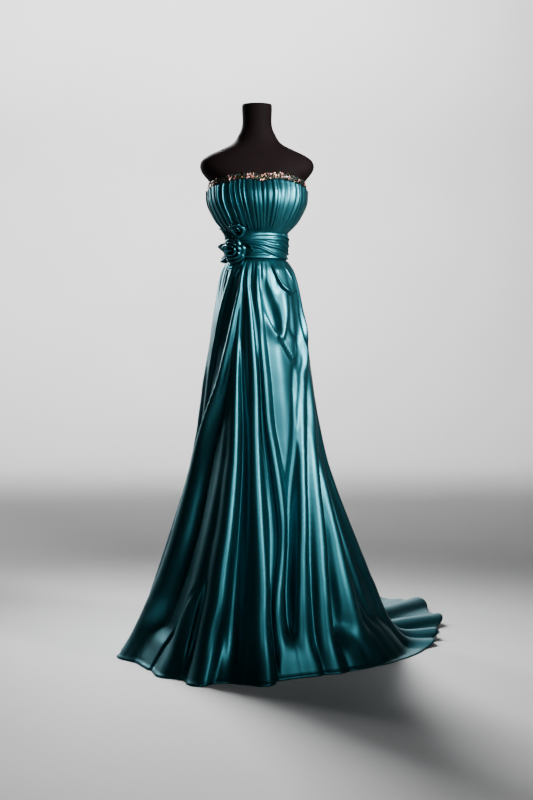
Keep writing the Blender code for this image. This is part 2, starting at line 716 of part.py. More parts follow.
def loop_point(loop):
    """A ribbon that runs out to its tip and back over itself."""
    _, root_x, root_y, tip_x, tip_y, half_width, height, seat = loop
    run = np.array([tip_x - root_x, tip_y - root_y])
    side = np.array([-run[1], run[0]]) / np.hypot(*run)

    def point(length, across):
        turn = math.pi * length * LOOP_TURN
        out = np.sin(turn) ** 0.8
        width = half_width * (0.55 + 0.45 * out)
        x = root_x + run[0] * out - side[0] * width * across
        y = root_y + run[1] * out - side[1] * width * across
        lift = height * 0.5 * (1.0 - np.cos(turn))
        return on_rosette(x, y, WALL + seat + lift)
    return point


def tail_point(length, across):
    """A narrow ribbon lying down over the top of the skirt."""
    route = np.array([(i / (len(TAIL) - 1), x, y) for i, (x, y) in enumerate(TAIL)])
    x = smooth_table(route, 1, length) + TAIL_HALF_WIDTH * across * (1.0 - 0.4 * length)
    y = smooth_table(route, 2, length)
    return on_rosette(x, y, WALL + TAIL_FOLD * (1.0 - np.abs(across)))


def build_rosette(material, collection):
    for rose in ROSES:
        columns = np.linspace(0.0, 1.0, rose[-1] + 1)
        cloth(rose[0], columns, (0.0, 0.4, 0.75, 1.0), rose_point(rose), material, collection)
    for leaf in LEAVES:
        columns = np.linspace(0.0, 1.0, 7)
        cloth(leaf[0], columns, (-1.0, 0.0, 1.0), leaf_point(leaf), material, collection)
    for loop in LOOPS:
        columns = np.linspace(0.0, 1.0, 11)
        cloth(loop[0], columns, (-1.0, 0.0, 1.0), loop_point(loop), material, collection)
    columns = np.linspace(0.0, 1.0, 7)
    cloth("rosette_tail", columns, (-1.0, 0.0, 1.0), tail_point, material, collection)


# ---------------------------------------------------------------------------------------------
# The whole object
# ---------------------------------------------------------------------------------------------

def build_gown():
    clear_scene()
    collection = bpy.data.collections.new("evening_gown")
    bpy.context.scene.collection.children.link(collection)
    satin = make_material("teal_satin", (0.035, 0.210, 0.250), 0.32)
    beads = make_material("beaded_trim", (0.480, 0.330, 0.300), 0.25, 0.4)
    cover = make_material("form_cover", (0.020, 0.012, 0.014), 0.75)
    steel = make_material("stand_paint", (0.015, 0.015, 0.016), 0.45)
    build_torso(cover, collection)
    build_pole(steel, collection)
    build_base(steel, collection)
    build_bodice(satin, collection)
    build_trim(beads, collection)
    build_sash(satin, collection)
    build_skirt(satin, collection)
    build_rosette(satin, collection)


build_gown()
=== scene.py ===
# %% [markdown]
# # A draped satin evening gown on a dress form
#
# We dress the gown's plain solids. Every piece of cloth is a surface worked out with numpy: a
# function of two numbers, one round the body and one down it. We load the frame, which holds the
# solids that the cloth follows, and keep its box to compare at the end.

# %% Load the frame
import math

import bpy
import numpy as np
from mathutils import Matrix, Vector


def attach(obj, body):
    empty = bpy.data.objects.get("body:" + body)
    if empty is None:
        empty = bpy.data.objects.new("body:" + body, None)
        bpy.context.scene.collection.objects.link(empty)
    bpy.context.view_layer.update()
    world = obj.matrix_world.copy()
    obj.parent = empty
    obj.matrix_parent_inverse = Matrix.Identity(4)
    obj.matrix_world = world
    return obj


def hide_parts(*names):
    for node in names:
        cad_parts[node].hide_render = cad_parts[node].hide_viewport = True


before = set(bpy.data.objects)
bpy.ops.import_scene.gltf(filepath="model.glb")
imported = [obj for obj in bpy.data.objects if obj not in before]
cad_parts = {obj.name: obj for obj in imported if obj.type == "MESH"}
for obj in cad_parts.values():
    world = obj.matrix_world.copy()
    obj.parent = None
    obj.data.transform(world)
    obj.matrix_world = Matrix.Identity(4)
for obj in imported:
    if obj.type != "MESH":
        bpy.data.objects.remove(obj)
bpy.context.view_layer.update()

# %% [markdown]
# ## Where we stand
#
# The gown was photographed a little from its wearer's right, from chest height, with a lens long
# enough to keep waist and hem in proportion. The camera comes first, because everything else is
# judged through it.

# %% Camera
CAMERA_DISTANCE = 4.6
CAMERA_HEIGHT = 1.02
CAMERA_AZIMUTH = math.radians(-5.0)
CAMERA_TILT = math.radians(90.0 - 2.55)
FOCAL_LENGTH = 64.7
FRAME_CENTRE_X, FRAME_HEIGHT_PX, GOWN_AXIS_X = 266.5, 800.0, 257.0


def link(name, data):
    """A new object in the scene."""
    made = bpy.data.objects.new(name, data)
    bpy.context.scene.collection.objects.link(made)
    return made


lens = bpy.data.cameras.new("camera")
lens.lens = FOCAL_LENGTH
lens.shift_x = (FRAME_CENTRE_X - GOWN_AXIS_X) / FRAME_HEIGHT_PX
camera = link("camera", lens)
camera.location = (
    CAMERA_DISTANCE * math.sin(CAMERA_AZIMUTH),
    -CAMERA_DISTANCE * math.cos(CAMERA_AZIMUTH),
    CAMERA_HEIGHT,
)
camera.rotation_euler = (CAMERA_TILT, 0.0, CAMERA_AZIMUTH)
bpy.context.scene.camera = camera
print("camera at", np.round(camera.location, 3).tolist())

# %% [markdown]
# ## Sizes
#
# The solids were made from these sizes, so our cloth lies where they are. Angles are degrees round
# the body, from the front towards the wearer's left. Lengths are in small units to keep the tables
# short; `sizes` divides each column by its unit, and everything after it is in metres.

# %% Driving sizes
WALL = 0.0012               # one thickness of lined satin, as drawn here
HALF_SEAM = 0.0003          # what each side of a seam stays away from it
SEAM_GAP = 2.0 * HALF_SEAM
WAIST_Z = 1.2620            # the waist seam
SASH_TOP_Z = 1.3420
SASH_EASE = 0.0012
BODICE_IN_SASH = 0.0025
SIDE_SEAM = 90.0
BACK_SEAM = 180.0
SHOULDER_FULLNESS = 0.7
SHOULDER_START, SHOULDER_END = (1.490, 1.550), (1.590, 1.650)
MM, TENTHS = 1000.0, 10000.0    # millimetres, and tenths of them, in a metre


def sizes(units, *rows):
    """Rows of numbers, each column divided by its unit."""
    return np.array(rows, float) / units


# Dress form: height, half width, depth to the front and to the back.
FORM = sizes(
    TENTHS,
    (10200, 1060, 880, 960), (10700, 1160, 950, 1080), (11200, 1150, 950, 1080),
    (11700, 1060, 910, 1010), (12200, 940, 850, 880), (12600, 885, 810, 800),
    (13000, 880, 805, 780), (13400, 920, 850, 820), (13800, 1100, 1010, 920),
    (14200, 1340, 1150, 1010), (14600, 1480, 1190, 1060), (14980, 1500, 1060, 1050),
    (15120, 1545, 1000, 1040), (15250, 1650, 945, 1020), (15420, 1770, 880, 985),
    (15600, 1810, 810, 930), (15760, 1745, 745, 865), (15900, 1560, 680, 795),
    (16060, 1230, 610, 715), (16240, 860, 540, 620), (16600, 570, 475, 520), (17530, 470, 440, 450),
)
# The bodice between two pleats: height, half width, front, back.
BODICE = sizes(
    TENTHS,
    (12624, 925, 846, 834), (13000, 946, 871, 850), (13300, 963, 892, 863), (13420, 970, 900, 868),
    (13540, 1035, 955, 895), (13750, 1225, 1085, 985), (14050, 1400, 1195, 1045),
    (14400, 1530, 1262, 1085), (14700, 1540, 1240, 1095), (15100, 1545, 1060, 1080),
)
# Top edge of the bodice: angle, height.
TOP_EDGE = sizes(
    (1, MM),
    (-180, 1472), (-120, 1476), (-90, 1480), (-66, 1490), (-40, 1504), (-22, 1508), (-4, 1503),
    (2, 1499), (10, 1504), (28, 1509), (46, 1504), (70, 1490), (90, 1480), (120, 1476), (180, 1472),
)
# How the skirt opens: share of the drop, share of the way from the waist's to the hem's radius.
FLARE = (
    (0, 0), (0.03, 0.046), (0.124, 0.136), (0.217, 0.184), (0.372, 0.25), (0.537, 0.354),
    (0.672, 0.5), (0.826, 0.69), (0.94, 0.85), (1, 1),
)
# The hem from above: angle, radius where the cloth meets the floor, length lying on the floor.
HEM = sizes(
    (1, MM, MM),
    (-110, 410, 4), (-90, 416, 4), (-74, 396, 4), (-54, 410, 4), (-30, 446, 4), (-14, 425, 4),
    (0, 396, 4), (14, 350, 4), (28, 352, 4), (45, 372, 6), (62, 400, 12), (76, 445, 30),
    (88, 475, 60), (102, 485, 130), (114, 490, 230), (128, 495, 390), (140, 500, 520),
    (152, 505, 600), (166, 505, 620), (180, 500, 570), (196, 480, 420), (212, 440, 200),
    (226, 415, 70), (238, 400, 16), (250, 410, 4),
)
print("form", len(FORM), "sections, bodice", len(BODICE), "sections, hem", len(HEM), "points")

# %% [markdown]
# ## Numbers to shapes
#
# `smooth_table` draws a smooth curve through a table's column, `rise` is a soft step, `oval` is the
# distance from the axis to an oval, and `place` turns angle, radius and height into a point. All of
# them work on whole arrays, so no loop runs over points.

# %% Curves, steps, ovals and places
def smooth_table(table, column, x):
    """The column at x, on cubics between rows; a row's slope is that between its neighbours."""
    rows = np.array(table, float)
    keys, values = rows[:, 0], rows[:, column]
    slopes = np.gradient(values, keys)
    x = np.clip(x, keys[0], keys[-1])
    low = np.clip(np.searchsorted(keys, x) - 1, 0, len(keys) - 2)
    step = keys[low + 1] - keys[low]
    t = (x - keys[low]) / step
    start = (2 * t**3 - 3 * t**2 + 1) * values[low] + (t**3 - 2 * t**2 + t) * step * slopes[low]
    end = (3 * t**2 - 2 * t**3) * values[low + 1] + (t**3 - t**2) * step * slopes[low + 1]
    return start + end


def rise(x, low, high):
    """0 below low, 1 above high, and 3t^2 - 2t^3 in between."""
    t = np.clip((x - low) / (high - low), 0.0, 1.0)
    return t * t * (3.0 - 2.0 * t)


def window(x, low, high, late_low, late_high):
    """1 between a soft step up and a soft step down, 0 outside them."""
    return rise(x, low, high) * (1.0 - rise(x, late_low, late_high))


def oval(angle, half_width, front, back, fullness=2.0):
    """Radius of |x/half_width|^f + |y/depth|^f = 1 in the direction of the angle."""
    sine, cosine = np.sin(np.radians(angle)), np.cos(np.radians(angle))
    depth = np.where(cosine > 0.0, front, back)
    size = np.abs(sine / half_width) ** fullness + np.abs(cosine / depth) ** fullness
    return size ** (-1.0 / fullness)


def section(table, angle, z, fullness=2.0):
    """Radius of a body whose rows are height, half width, front and back."""
    return oval(angle, *(smooth_table(table, column, z) for column in (1, 2, 3)), fullness)


def form_radius(angle, z):
    """Radius of the dress form: its sections are ovals, fuller at the shoulders."""
    fuller = SHOULDER_FULLNESS * rise(z, *SHOULDER_START) * (1.0 - rise(z, *SHOULDER_END))
    return section(FORM, angle, z, 2.0 + fuller)


def place(angle, radius, z):
    """(radius sin angle, -radius cos angle, z)."""
    turn = np.radians(angle)
    return np.stack([radius * np.sin(turn), -radius * np.cos(turn), z + 0.0 * radius], axis=-1)


def half_turn(angle):
    """The same angle between -180 and 180 degrees."""
    return (angle + 180.0) % 360.0 - 180.0


print("waist front", round(float(section(BODICE, 0.0, WAIST_Z)), 4), "m from the axis")

# %% [markdown]
# ## From a grid of points to a piece
#
# A surface is rows and columns of points. When columns run to the wearer's left and rows climb,
# faces look outwards. UVs hold metres of cloth, so a weave has one size everywhere, and Solidify
# gives the thickness. `cuts` remembers each piece with its grids and its area.

# %% Surface helpers
cuts = {}


def grid_of(low, high, columns, rows):
    """Two arrays: low to high along each row, and 0 to 1 from row to row."""
    return np.meshgrid(np.linspace(low, high, columns), np.linspace(0.0, 1.0, rows))


def quads_of(rows, columns, ring=False):
    """Corner numbers of a grid's faces; a ring also joins the last column to the first."""
    index = np.arange(rows * columns).reshape(rows, columns)
    if ring:
        index = np.concatenate([index, index[:, :1]], axis=1)
    corners = [index[:-1, :-1], index[:-1, 1:], index[1:, 1:], index[1:, :-1]]
    return np.stack(corners, axis=-1).reshape(-1, 4)


def mesh_of(name, points, faces, uv=None):
    """A mesh from points (N, 3), faces (M, corners) and a UV place for every point."""
    mesh = bpy.data.meshes.new(name)
    mesh.from_pydata(points.reshape(-1, 3), [], faces.tolist())
    if uv is not None:
        layer = mesh.uv_layers.new(name="cloth")
        layer.data.foreach_set("uv", uv[faces.ravel()].ravel().astype(np.float32))
    mesh.shade_smooth()
    return mesh


def cloth_uv(points):
    """Metres of cloth: mean row length shared out across, and mean column length down."""
    across = np.linalg.norm(np.diff(points, axis=1), axis=2).mean(axis=0)
    along = np.linalg.norm(np.diff(points, axis=0), axis=2).mean(axis=1)
    u = np.concatenate([[0.0], np.cumsum(across)])
    v = np.concatenate([[0.0], np.cumsum(along)])
    return np.stack(np.meshgrid(u, v), axis=-1)


def area_of(points):
    """Square metres of a grid, from the cross products of its cells' diagonals."""
    one = points[1:, 1:] - points[:-1, :-1]
    two = points[1:, :-1] - points[:-1, 1:]
    return float(np.linalg.norm(np.cross(one, two), axis=2).sum() / 2.0)


def add_piece(name, mesh, finish, nodes=()):
    """Link a piece, give it its finish, let it ride on the gown and stand for its solids."""
    piece = link(name, mesh)
    mesh.materials.append(finish)
    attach(piece, "root")
    if nodes:
        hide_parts(*nodes)
    return piece


def cloth_piece(node, cloth, grids, held, below, wall=WALL, offset=-1.0):
    """A thin shell of cloth on its grids of points, each with a UV patch of its own."""
    name = f"{node}_{cloth}"
    starts = np.cumsum([0] + [grid[..., 0].size for grid in grids])
    points = np.concatenate([grid.reshape(-1, 3) for grid in grids])
    faces = [quads_of(*grid.shape[:2]) + start for grid, start in zip(grids, starts)]
    places = np.concatenate([cloth_uv(grid).reshape(-1, 2) for grid in grids])
    mesh = mesh_of(name, points, np.concatenate(faces), places)
    finish, slot = CLOTHS[cloth]
    piece = add_piece(name, mesh, finish, [node])
    solid = piece.modifiers.new("wall", "SOLIDIFY")
    solid.thickness, solid.offset, solid.use_even_offset = wall, offset, False
    area = sum(area_of(grid) for grid in grids)
    cuts[name] = (piece, grids, area, held, below)
    print(f"{name}: {len(grids)} grids, {len(mesh.polygons)} faces, {area:.4f} m2 of cloth")


def part_seams(points, angle, first, last):
    """Move a panel's first and last columns half a seam gap away from their seams."""
    turn = np.radians(angle)
    tangent = np.stack([np.cos(turn), np.sin(turn), 0.0 * turn], axis=-1)
    inward = np.where(angle == first, 1.0, 0.0) - np.where(angle == last, 1.0, 0.0)
    return points + tangent * (inward * HALF_SEAM)[..., None]


# %% [markdown]
# ## Writing shaders as sums
#
# Most nodes of a material do arithmetic. `Wire` wraps a socket and gives it + and *, so `0.3 * mask
# + 0.1` adds the Math nodes by itself. `Finish` holds a Principled shader and adds any other node
# from its type, settings and sockets.

# %% Shader helpers
OBJECT, UV = 3, 2           # outputs of a Texture Coordinate node
EVEN = (1.0, 1.0, 1.0)


class Wire:
    """A number socket that can be added and multiplied."""

    def __init__(self, finish, socket):
        self.finish, self.socket = finish, socket

    def __add__(self, other):
        return self.finish.node("ShaderNodeMath", {"operation": "ADD"}, {0: self, 1: other})

    def __mul__(self, other):
        return self.finish.node("ShaderNodeMath", {"operation": "MULTIPLY"}, {0: self, 1: other})

    __radd__ = __add__
    __rmul__ = __mul__


class Finish:
    """One material: its Principled shader and the nodes that feed it."""

    def __init__(self, name, **constants):
        self.material = bpy.data.materials.new(name)
        self.material.use_nodes = True
        self.tree = self.material.node_tree
        self.shader = self.tree.nodes["Principled BSDF"]
        for socket, value in constants.items():
            self.shader.inputs[socket.replace("_", " ")].default_value = value

    def node(self, kind, settings=None, sockets=None, output=0):
        """Add a node, set it up, then fill its sockets with values or wires."""
        made = self.tree.nodes.new(kind)
        for key, value in (settings or {}).items():
            setattr(made, key, value)
        for key, value in (sockets or {}).items():
            if isinstance(value, Wire):
                self.tree.links.new(value.socket, made.inputs[key])
            else:
                made.inputs[key].default_value = value
        return Wire(self, made.outputs[output])

    def feed(self, socket, wire):
        """Let a wire drive a socket of the shader."""
        self.tree.links.new(wire.socket, self.shader.inputs[socket])

    def where(self, output=OBJECT, scale=EVEN):
        """Coordinates, stretched by three scales."""
        source = self.node("ShaderNodeTexCoord", output=output)
        return self.node("ShaderNodeMapping", sockets={"Vector": source, "Scale": scale})

    def noise(self, place, scale, detail=2.0):
        sockets = {"Vector": place, "Scale": scale, "Detail": detail}
        return self.node("ShaderNodeTexNoise", sockets=sockets)

    def waves(self, place, scale, direction):
        settings = {"wave_type": "BANDS", "bands_direction": direction}
        return self.node("ShaderNodeTexWave", settings, {"Vector": place, "Scale": scale}, output=1)

    def soft_step(self, value, low, high):
        """A smooth step from 0 at low to 1 at high."""
        sockets = {"Value": value, "From Min": low, "From Max": high}
        return self.node("ShaderNodeMapRange", {"interpolation_type": "SMOOTHSTEP"}, sockets)

    def colour(self, mask, first, second):
        """Base colour between two, by a mask."""
        sockets = {0: mask, 6: (*first, 1.0), 7: (*second, 1.0)}
        mixed = self.node("ShaderNodeMix", {"data_type": "RGBA"}, sockets, output=2)
        self.feed("Base Color", mixed)

    def bump(self, height, distance, strength):
        sockets = {"Height": height, "Distance": distance, "Strength": strength}
        self.feed("Normal", self.node("ShaderNodeBump", sockets=sockets))


# %% [markdown]
# ## Satin
#
# Satin's threads float over several others, so its shine is broad and takes the cloth's colour: the
# shader is part metal, softly rough. Streaks drawn out along the warp vary the colour, and threads
# and hand wrinkles give a low relief, all laid out on the UV map.

# %% Satin finish
DEEP_TEAL = (0.028, 0.122, 0.150)
MID_TEAL = (0.056, 0.200, 0.232)
THREAD_PITCH = 0.0009
WRINKLE = 0.0012

satin = Finish("teal_satin", Metallic=0.88, Specular_IOR_Level=0.6)
on_cloth = satin.where(UV)
streaks = satin.noise(satin.where(UV, (90.0, 2.0, 1.0)), 1.0, detail=3.0)
clouds = satin.noise(on_cloth, 5.0)
satin.colour(streaks * 0.6 + clouds * 0.4, DEEP_TEAL, MID_TEAL)
satin.feed("Roughness", streaks * 0.10 + clouds * 0.06 + 0.32)
threads = satin.waves(on_cloth, 1.0 / THREAD_PITCH / 20.0, "DIAGONAL")
wrinkles = satin.noise(satin.where(UV, (26.0, 9.0, 1.0)), 1.0)
satin.bump(wrinkles + threads * 0.02, WRINKLE, 0.35)
print("satin:", len(satin.tree.nodes), "nodes")

# %% [markdown]
# ## The other finishes
#
# The form is covered in matt jersey: two crossed sets of ribs, and lint. The stand is powder
# coated, with a fine orange-peel relief. Stones are pale rose glass, sequins olive plastic with a
# metal film, on nearly black net; each differs a little, by a noise coarser than one of them.

# %% Jersey, paint, stones, sequins and net
jersey = Finish("form_jersey", Specular_IOR_Level=0.2)
where = jersey.where()
ribs = jersey.waves(where, 40.0, "Z") * jersey.waves(where, 40.0, "DIAGONAL")
lint = jersey.noise(where, 60.0, detail=4.0)
jersey.colour(lint, (0.006, 0.0025, 0.003), (0.013, 0.006, 0.007))
jersey.feed("Roughness", lint * 0.15 + 0.72)
jersey.bump(ribs + lint * 0.4, 0.0003, 0.5)

paint = Finish("stand_paint")
where = paint.where()
clouds = paint.noise(where, 9.0, detail=3.0)
paint.colour(clouds, (0.010, 0.010, 0.011), (0.026, 0.026, 0.028))
paint.feed("Roughness", clouds * 0.18 + 0.36)
paint.bump(paint.noise(where, 420.0), 0.0002, 0.4)


def glint(name, dark, light, roughness, metallic, scale):
    """A hard, coated, mottled finish for small ornaments."""
    made = Finish(name, Metallic=metallic, Coat_Weight=0.6, Coat_Roughness=0.06)
    where = made.where()
    mottled = made.noise(where, scale, detail=1.0)
    made.colour(made.soft_step(mottled, 0.38, 0.62), dark, light)
    made.feed("Roughness", mottled * 0.12 + roughness)
    made.bump(made.noise(where, scale * 5.0), 0.0002, 0.3)
    return made.material


STONE = glint("rose_stone", (0.42, 0.17, 0.15), (0.78, 0.48, 0.43), 0.12, 0.15, 120.0)
SEQUIN = glint("olive_sequin", (0.012, 0.014, 0.008), (0.16, 0.12, 0.05), 0.16, 0.8, 150.0)
NET = glint("dark_net", (0.010, 0.018, 0.018), (0.030, 0.045, 0.042), 0.50, 0.0, 300.0)
CLOTHS = {"satin": (satin.material, "teal_satin"), "net": (NET, "beaded_trim")}
MADE = (satin.material, jersey.material, paint.material, STONE, SEQUIN, NET)
print("finishes:", ", ".join(material.name for material in MADE))

# %% [markdown]
# ## The dress form
#
# A shop form is papier-mache or foam under jersey: one smooth closed body. So it is one ring
# surface, sections all the way up. Rings that shrink at one height close its flat ends.

# %% Form and stand
FORM_COLUMNS = 96
FORM_ROWS = 110
CAP_SHARES = (0.97, 0.6, 0.02)

angle = np.linspace(-180.0, 180.0, FORM_COLUMNS, endpoint=False)[None, :]
heights = np.linspace(FORM[0][0], FORM[-1][0], FORM_ROWS)[:, None]
body = place(angle, form_radius(angle, heights), heights)
foot = [body[0] * (share, share, 1.0) for share in reversed(CAP_SHARES)]
neck = [body[-1] * (share, share, 1.0) for share in CAP_SHARES]
torso = np.stack(foot + list(body) + neck)
torso_mesh = mesh_of("form_body", torso, quads_of(*torso.shape[:2], ring=True))
add_piece("form_body", torso_mesh, jersey.material, ["form_torso"])
for node in ("stand_pole", "stand_base"):
    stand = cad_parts[node]
    stand.data.materials.clear()
    stand.data.materials.append(paint.material)
print("form:", len(torso_mesh.polygons), "faces")

# %% [markdown]
# ## The pleated bodice
#
# Satin in knife pleats: each climbs slowly to its edge, leans over, and drops back under itself.
# Pleats stand upright at the top edge and are drawn in towards the middle of the waist. A height
# alone can't overlap, so the lean is a second, sideways movement of the same points.

# %% Bodice
PLEAT_DEPTH = 0.0070
PLEAT_CREST = 0.78          # share of a pleat's width where its edge stands
PLEAT_OVERLAP = 0.26
PLEAT_DRAW_IN = 20.0
PLEAT_DRAW_ASIDE = 7.0
CROWDING = 0.55             # how closely the columns gather at the pleats' edges
SASH_SHARE = 0.30           # share of the rows that lie under the sash
BODICE_ROWS = 64


def top_edge(angle):
    """Height of the top edge, read off its table."""
    return smooth_table(TOP_EDGE, 1, half_turn(angle))


def pleat_wave(phase):
    """Height of a knife pleat and how far it leans over the next one.

    It climbs as a quarter sine, rolls over its edge, drops into a crevice and comes back up.
    """
    phase = phase % 1.0
    climb = np.sin(np.clip(phase / PLEAT_CREST, 0.0, 1.0) * math.pi / 2.0) ** 1.2
    fall = rise(phase, PLEAT_CREST, PLEAT_CREST + 0.11)
    crevice = rise(phase, PLEAT_CREST + 0.12, 1.0)
    height = 0.15 + 0.85 * climb - 1.30 * fall + 0.30 * crevice
    return height, PLEAT_OVERLAP * np.exp(-(((phase - PLEAT_CREST) / 0.10) ** 2))


def bodice_surface(first, last, pleats, columns, rows):
    """Radius = bodice section + pleat height; angle = the drawn-in angle + the pleat's lean."""
    even = np.linspace(0.0, 1.0, columns)
    crowd = CROWDING * np.sin(2.0 * math.pi * (even * pleats - PLEAT_CREST - 0.05))
    crowded = even - (crowd - crowd[0]) / (2.0 * math.pi * pleats)
    along, share = np.meshgrid(crowded, np.linspace(0.0, 1.0, rows))
    angle = first + (last - first) * along
    angle[:, -1] = last
    low = WAIST_Z + HALF_SEAM
    under = low + (SASH_TOP_Z - low) * share / SASH_SHARE
    over = (top_edge(angle) - SASH_TOP_Z) * (share - SASH_SHARE) / (1.0 - SASH_SHARE)
    z = np.where(share < SASH_SHARE, under, SASH_TOP_Z + over)
    lean = PLEAT_DRAW_IN * np.sin(np.radians(2.0 * angle))
    lean = lean - PLEAT_DRAW_ASIDE * np.cos(np.radians(angle)) ** 2
    turned = angle - lean * (1.0 - share) ** 1.3
    uneven = 0.16 * np.sin(along * 37.0 + 1.5 * share) + 0.10 * np.sin(along * 67.0 + 2.0)
    height, aside = pleat_wave(along * pleats + uneven * np.sin(np.pi * along) ** 0.5)
    free = rise(z, SASH_TOP_Z - 0.002, SASH_TOP_Z + 0.020)
    deep = 1.0 + 0.28 * np.sin(along * 29.0 + 4.0 * share)
    deep = deep + 0.12 * np.sin(along * 83.0 - 5.0 * share)
    radius = section(BODICE, turned, z) + PLEAT_DEPTH * free * height * deep
    inside = window(along, 0.0, 0.6 / pleats, 1.0 - 0.6 / pleats, 1.0)
    turned = turned + aside * (last - first) / pleats * free * inside
    return part_seams(place(turned, radius, z), angle, first, last)


# Panel, its two seams, how many pleats, how many columns.
BODICE_PANELS = (
    ("bodice_front", -SIDE_SEAM, SIDE_SEAM, 24, 561),
    ("bodice_back_left", SIDE_SEAM, BACK_SEAM, 9, 217),
    ("bodice_back_right", BACK_SEAM, 360.0 - SIDE_SEAM, 9, 217),
)
for name, *shape in BODICE_PANELS:
    cloth_piece(name, "satin", [bodice_surface(*shape, BODICE_ROWS)], "gathered", "form_body")

# %% [markdown]
# ## The beaded trim
#
# A narrow band of dark net stands on the top edge, with clusters of pale rose stones and dark olive
# sequins sewn to it. A stone is a short faceted drop; all are copies of it, turned and scaled by
# arrays, so a hundred cost one calculation.

# %% Trim band and its stones
TRIM_HEIGHT = 0.021
TRIM_SWELL = 0.0016
NET_WALL = 0.0010
EDGE_OUT, FORM_CLEAR = 0.0012, 0.0030   # how far the band keeps off the bodice and the form
STONE_LIFT, SEQUIN_LIFT = 0.0022, 0.0010
TRIM_GRID = (181, 9)
# Half of the gown, its two seams, and the bodice panel that it lies on.
HALVES = (
    ("front", -90.0, 90.0, "bodice_front_satin"),
    ("back", 90.0, 270.0, "bodice_back_left_satin"),
)


def trim_surface(angle, share):
    """Radius runs from the bodice's edge to just off the form, with a soft swell in between."""
    top = top_edge(angle)
    z = top + SEAM_GAP + TRIM_HEIGHT * share
    on_edge = section(BODICE, angle, top) + EDGE_OUT
    on_form = form_radius(angle, z) + FORM_CLEAR
    radius = np.maximum(on_edge + (on_form - on_edge) * rise(share, 0.0, 1.0), on_form)
    return place(angle, radius + TRIM_SWELL * np.sin(np.pi * share), z)


def drop_stone(sides):
    """Rings of a faceted drop: a girdle, a small table on top and a point behind."""
    levels = ((0.0, -0.5), (0.75, -0.28), (1.0, 0.0), (0.62, 0.42), (0.0, 0.5))
    turn = np.linspace(0.0, 2.0 * math.pi, sides, endpoint=False)
    rings = [np.stack([r * np.cos(turn), r * np.sin(turn), 0.0 * turn + h], -1) for r, h in levels]
    return np.concatenate(rings), quads_of(len(levels), sides, ring=True)


def scatter(shape, faces, centres, outward, spin, sizes):
    """Copies of a shape: each is scaled, spun about its outward axis and moved to its centre."""
    side = np.cross((0.0, 0.0, 1.0), outward)
    side /= np.linalg.norm(side, axis=1, keepdims=True)
    rising = np.cross(outward, side)
    across = side * np.cos(spin)[:, None] + rising * np.sin(spin)[:, None]
    upward = rising * np.cos(spin)[:, None] - side * np.sin(spin)[:, None]
    axes = np.stack([across, upward, outward], axis=1) * sizes[:, :, None]
    points = np.einsum("vk,nkc->nvc", shape, axes) + centres[:, None, :]
    shift = np.arange(len(centres))[:, None, None] * len(shape)
    return points.reshape(-1, 3), (faces[None] + shift).reshape(-1, faces.shape[1])


def sewn_on(name, angles, shares, lift, sizes, sides, finish, seed):
    """Ornaments on the band: their place, a small outward lean and a turn of their own."""
    dice = np.random.default_rng(seed)
    centres = trim_surface(angles, shares)
    outward = place(angles + dice.normal(0.0, 14.0, len(angles)), 1.0 + 0.0 * angles, 0.0 * angles)
    outward[:, 2] = dice.normal(0.25, 0.25, len(angles))
    outward /= np.linalg.norm(outward, axis=1, keepdims=True)
    spin = dice.uniform(0.0, math.pi, len(angles))
    shape, faces = drop_stone(sides)
    points, all_faces = scatter(shape, faces, centres + outward * lift, outward, spin, sizes)
    mesh = mesh_of(name, points, all_faces)
    mesh.shade_flat()
    print(f"{name}: {len(angles)} ornaments, {len(mesh.polygons)} faces")
    return add_piece(name, mesh, finish)


# Stone clusters: the middle's angle, how many stones, how far they spread, in degrees.
CLUSTERS = (
    (-82, 5, 4), (-68, 3, 3), (-47, 5, 4), (-37, 2, 3), (-21, 6, 4.5), (-12, 6, 4), (2, 3, 2.5),
    (10, 3, 2), (17, 4, 3), (27, 6, 4), (36, 4, 3), (47, 2, 2.5), (60, 3, 3), (76, 3, 3),
)
BACK_CLUSTERS = tuple((98.0 + 14.0 * i, 3 + (i * 7) % 3, 3.6) for i in range(12))
dice = np.random.default_rng(11)
stone_angles = np.concatenate([
    middle + spread * dice.uniform(-1.0, 1.0, count)
    for middle, count, spread in CLUSTERS + BACK_CLUSTERS
])
stone_shares = dice.uniform(0.12, 0.98, len(stone_angles))
long_sides = dice.uniform(0.0030, 0.0056, len(stone_angles))
stone_sizes = np.stack([long_sides, long_sides * 0.62, long_sides * 0.75], axis=1)
stones = sewn_on("trim_stones", stone_angles, stone_shares, STONE_LIFT, stone_sizes, 8, STONE, 3)

SEQUINS = 620
sequin_angles = np.linspace(-89.0, 269.0, SEQUINS) + dice.normal(0.0, 1.0, SEQUINS)
sequin_shares = dice.uniform(0.02, 1.02, SEQUINS)
disc = dice.uniform(0.0020, 0.0034, SEQUINS)
sequin_sizes = np.stack([disc, disc, disc * 0.25], axis=1)
sequins = sewn_on(
    "trim_sequins", sequin_angles, sequin_shares, SEQUIN_LIFT, sequin_sizes, 7, SEQUIN, 5
)

for half, first, last, below in HALVES:
    angle, share = grid_of(first, last, *TRIM_GRID)
    points = part_seams(trim_surface(angle, share), angle, first, last)
    cloth_piece(f"neck_trim_{half}", "net", [points], "laid", below, NET_WALL)

# %% [markdown]
# ## Creases as a table of paths
#
# A fold in hanging cloth is a ridge that wanders, grows and widens as it comes down. So each is a
# short path: height, angle, how far out, half width. The ridge's section is a bell curve; it also
# pushes its flanks aside, as real folds overhang the hollows beside them.

# %% Crease helper
FOLD_ROUNDNESS = 0.55
LEAST_WIDTH = 0.002


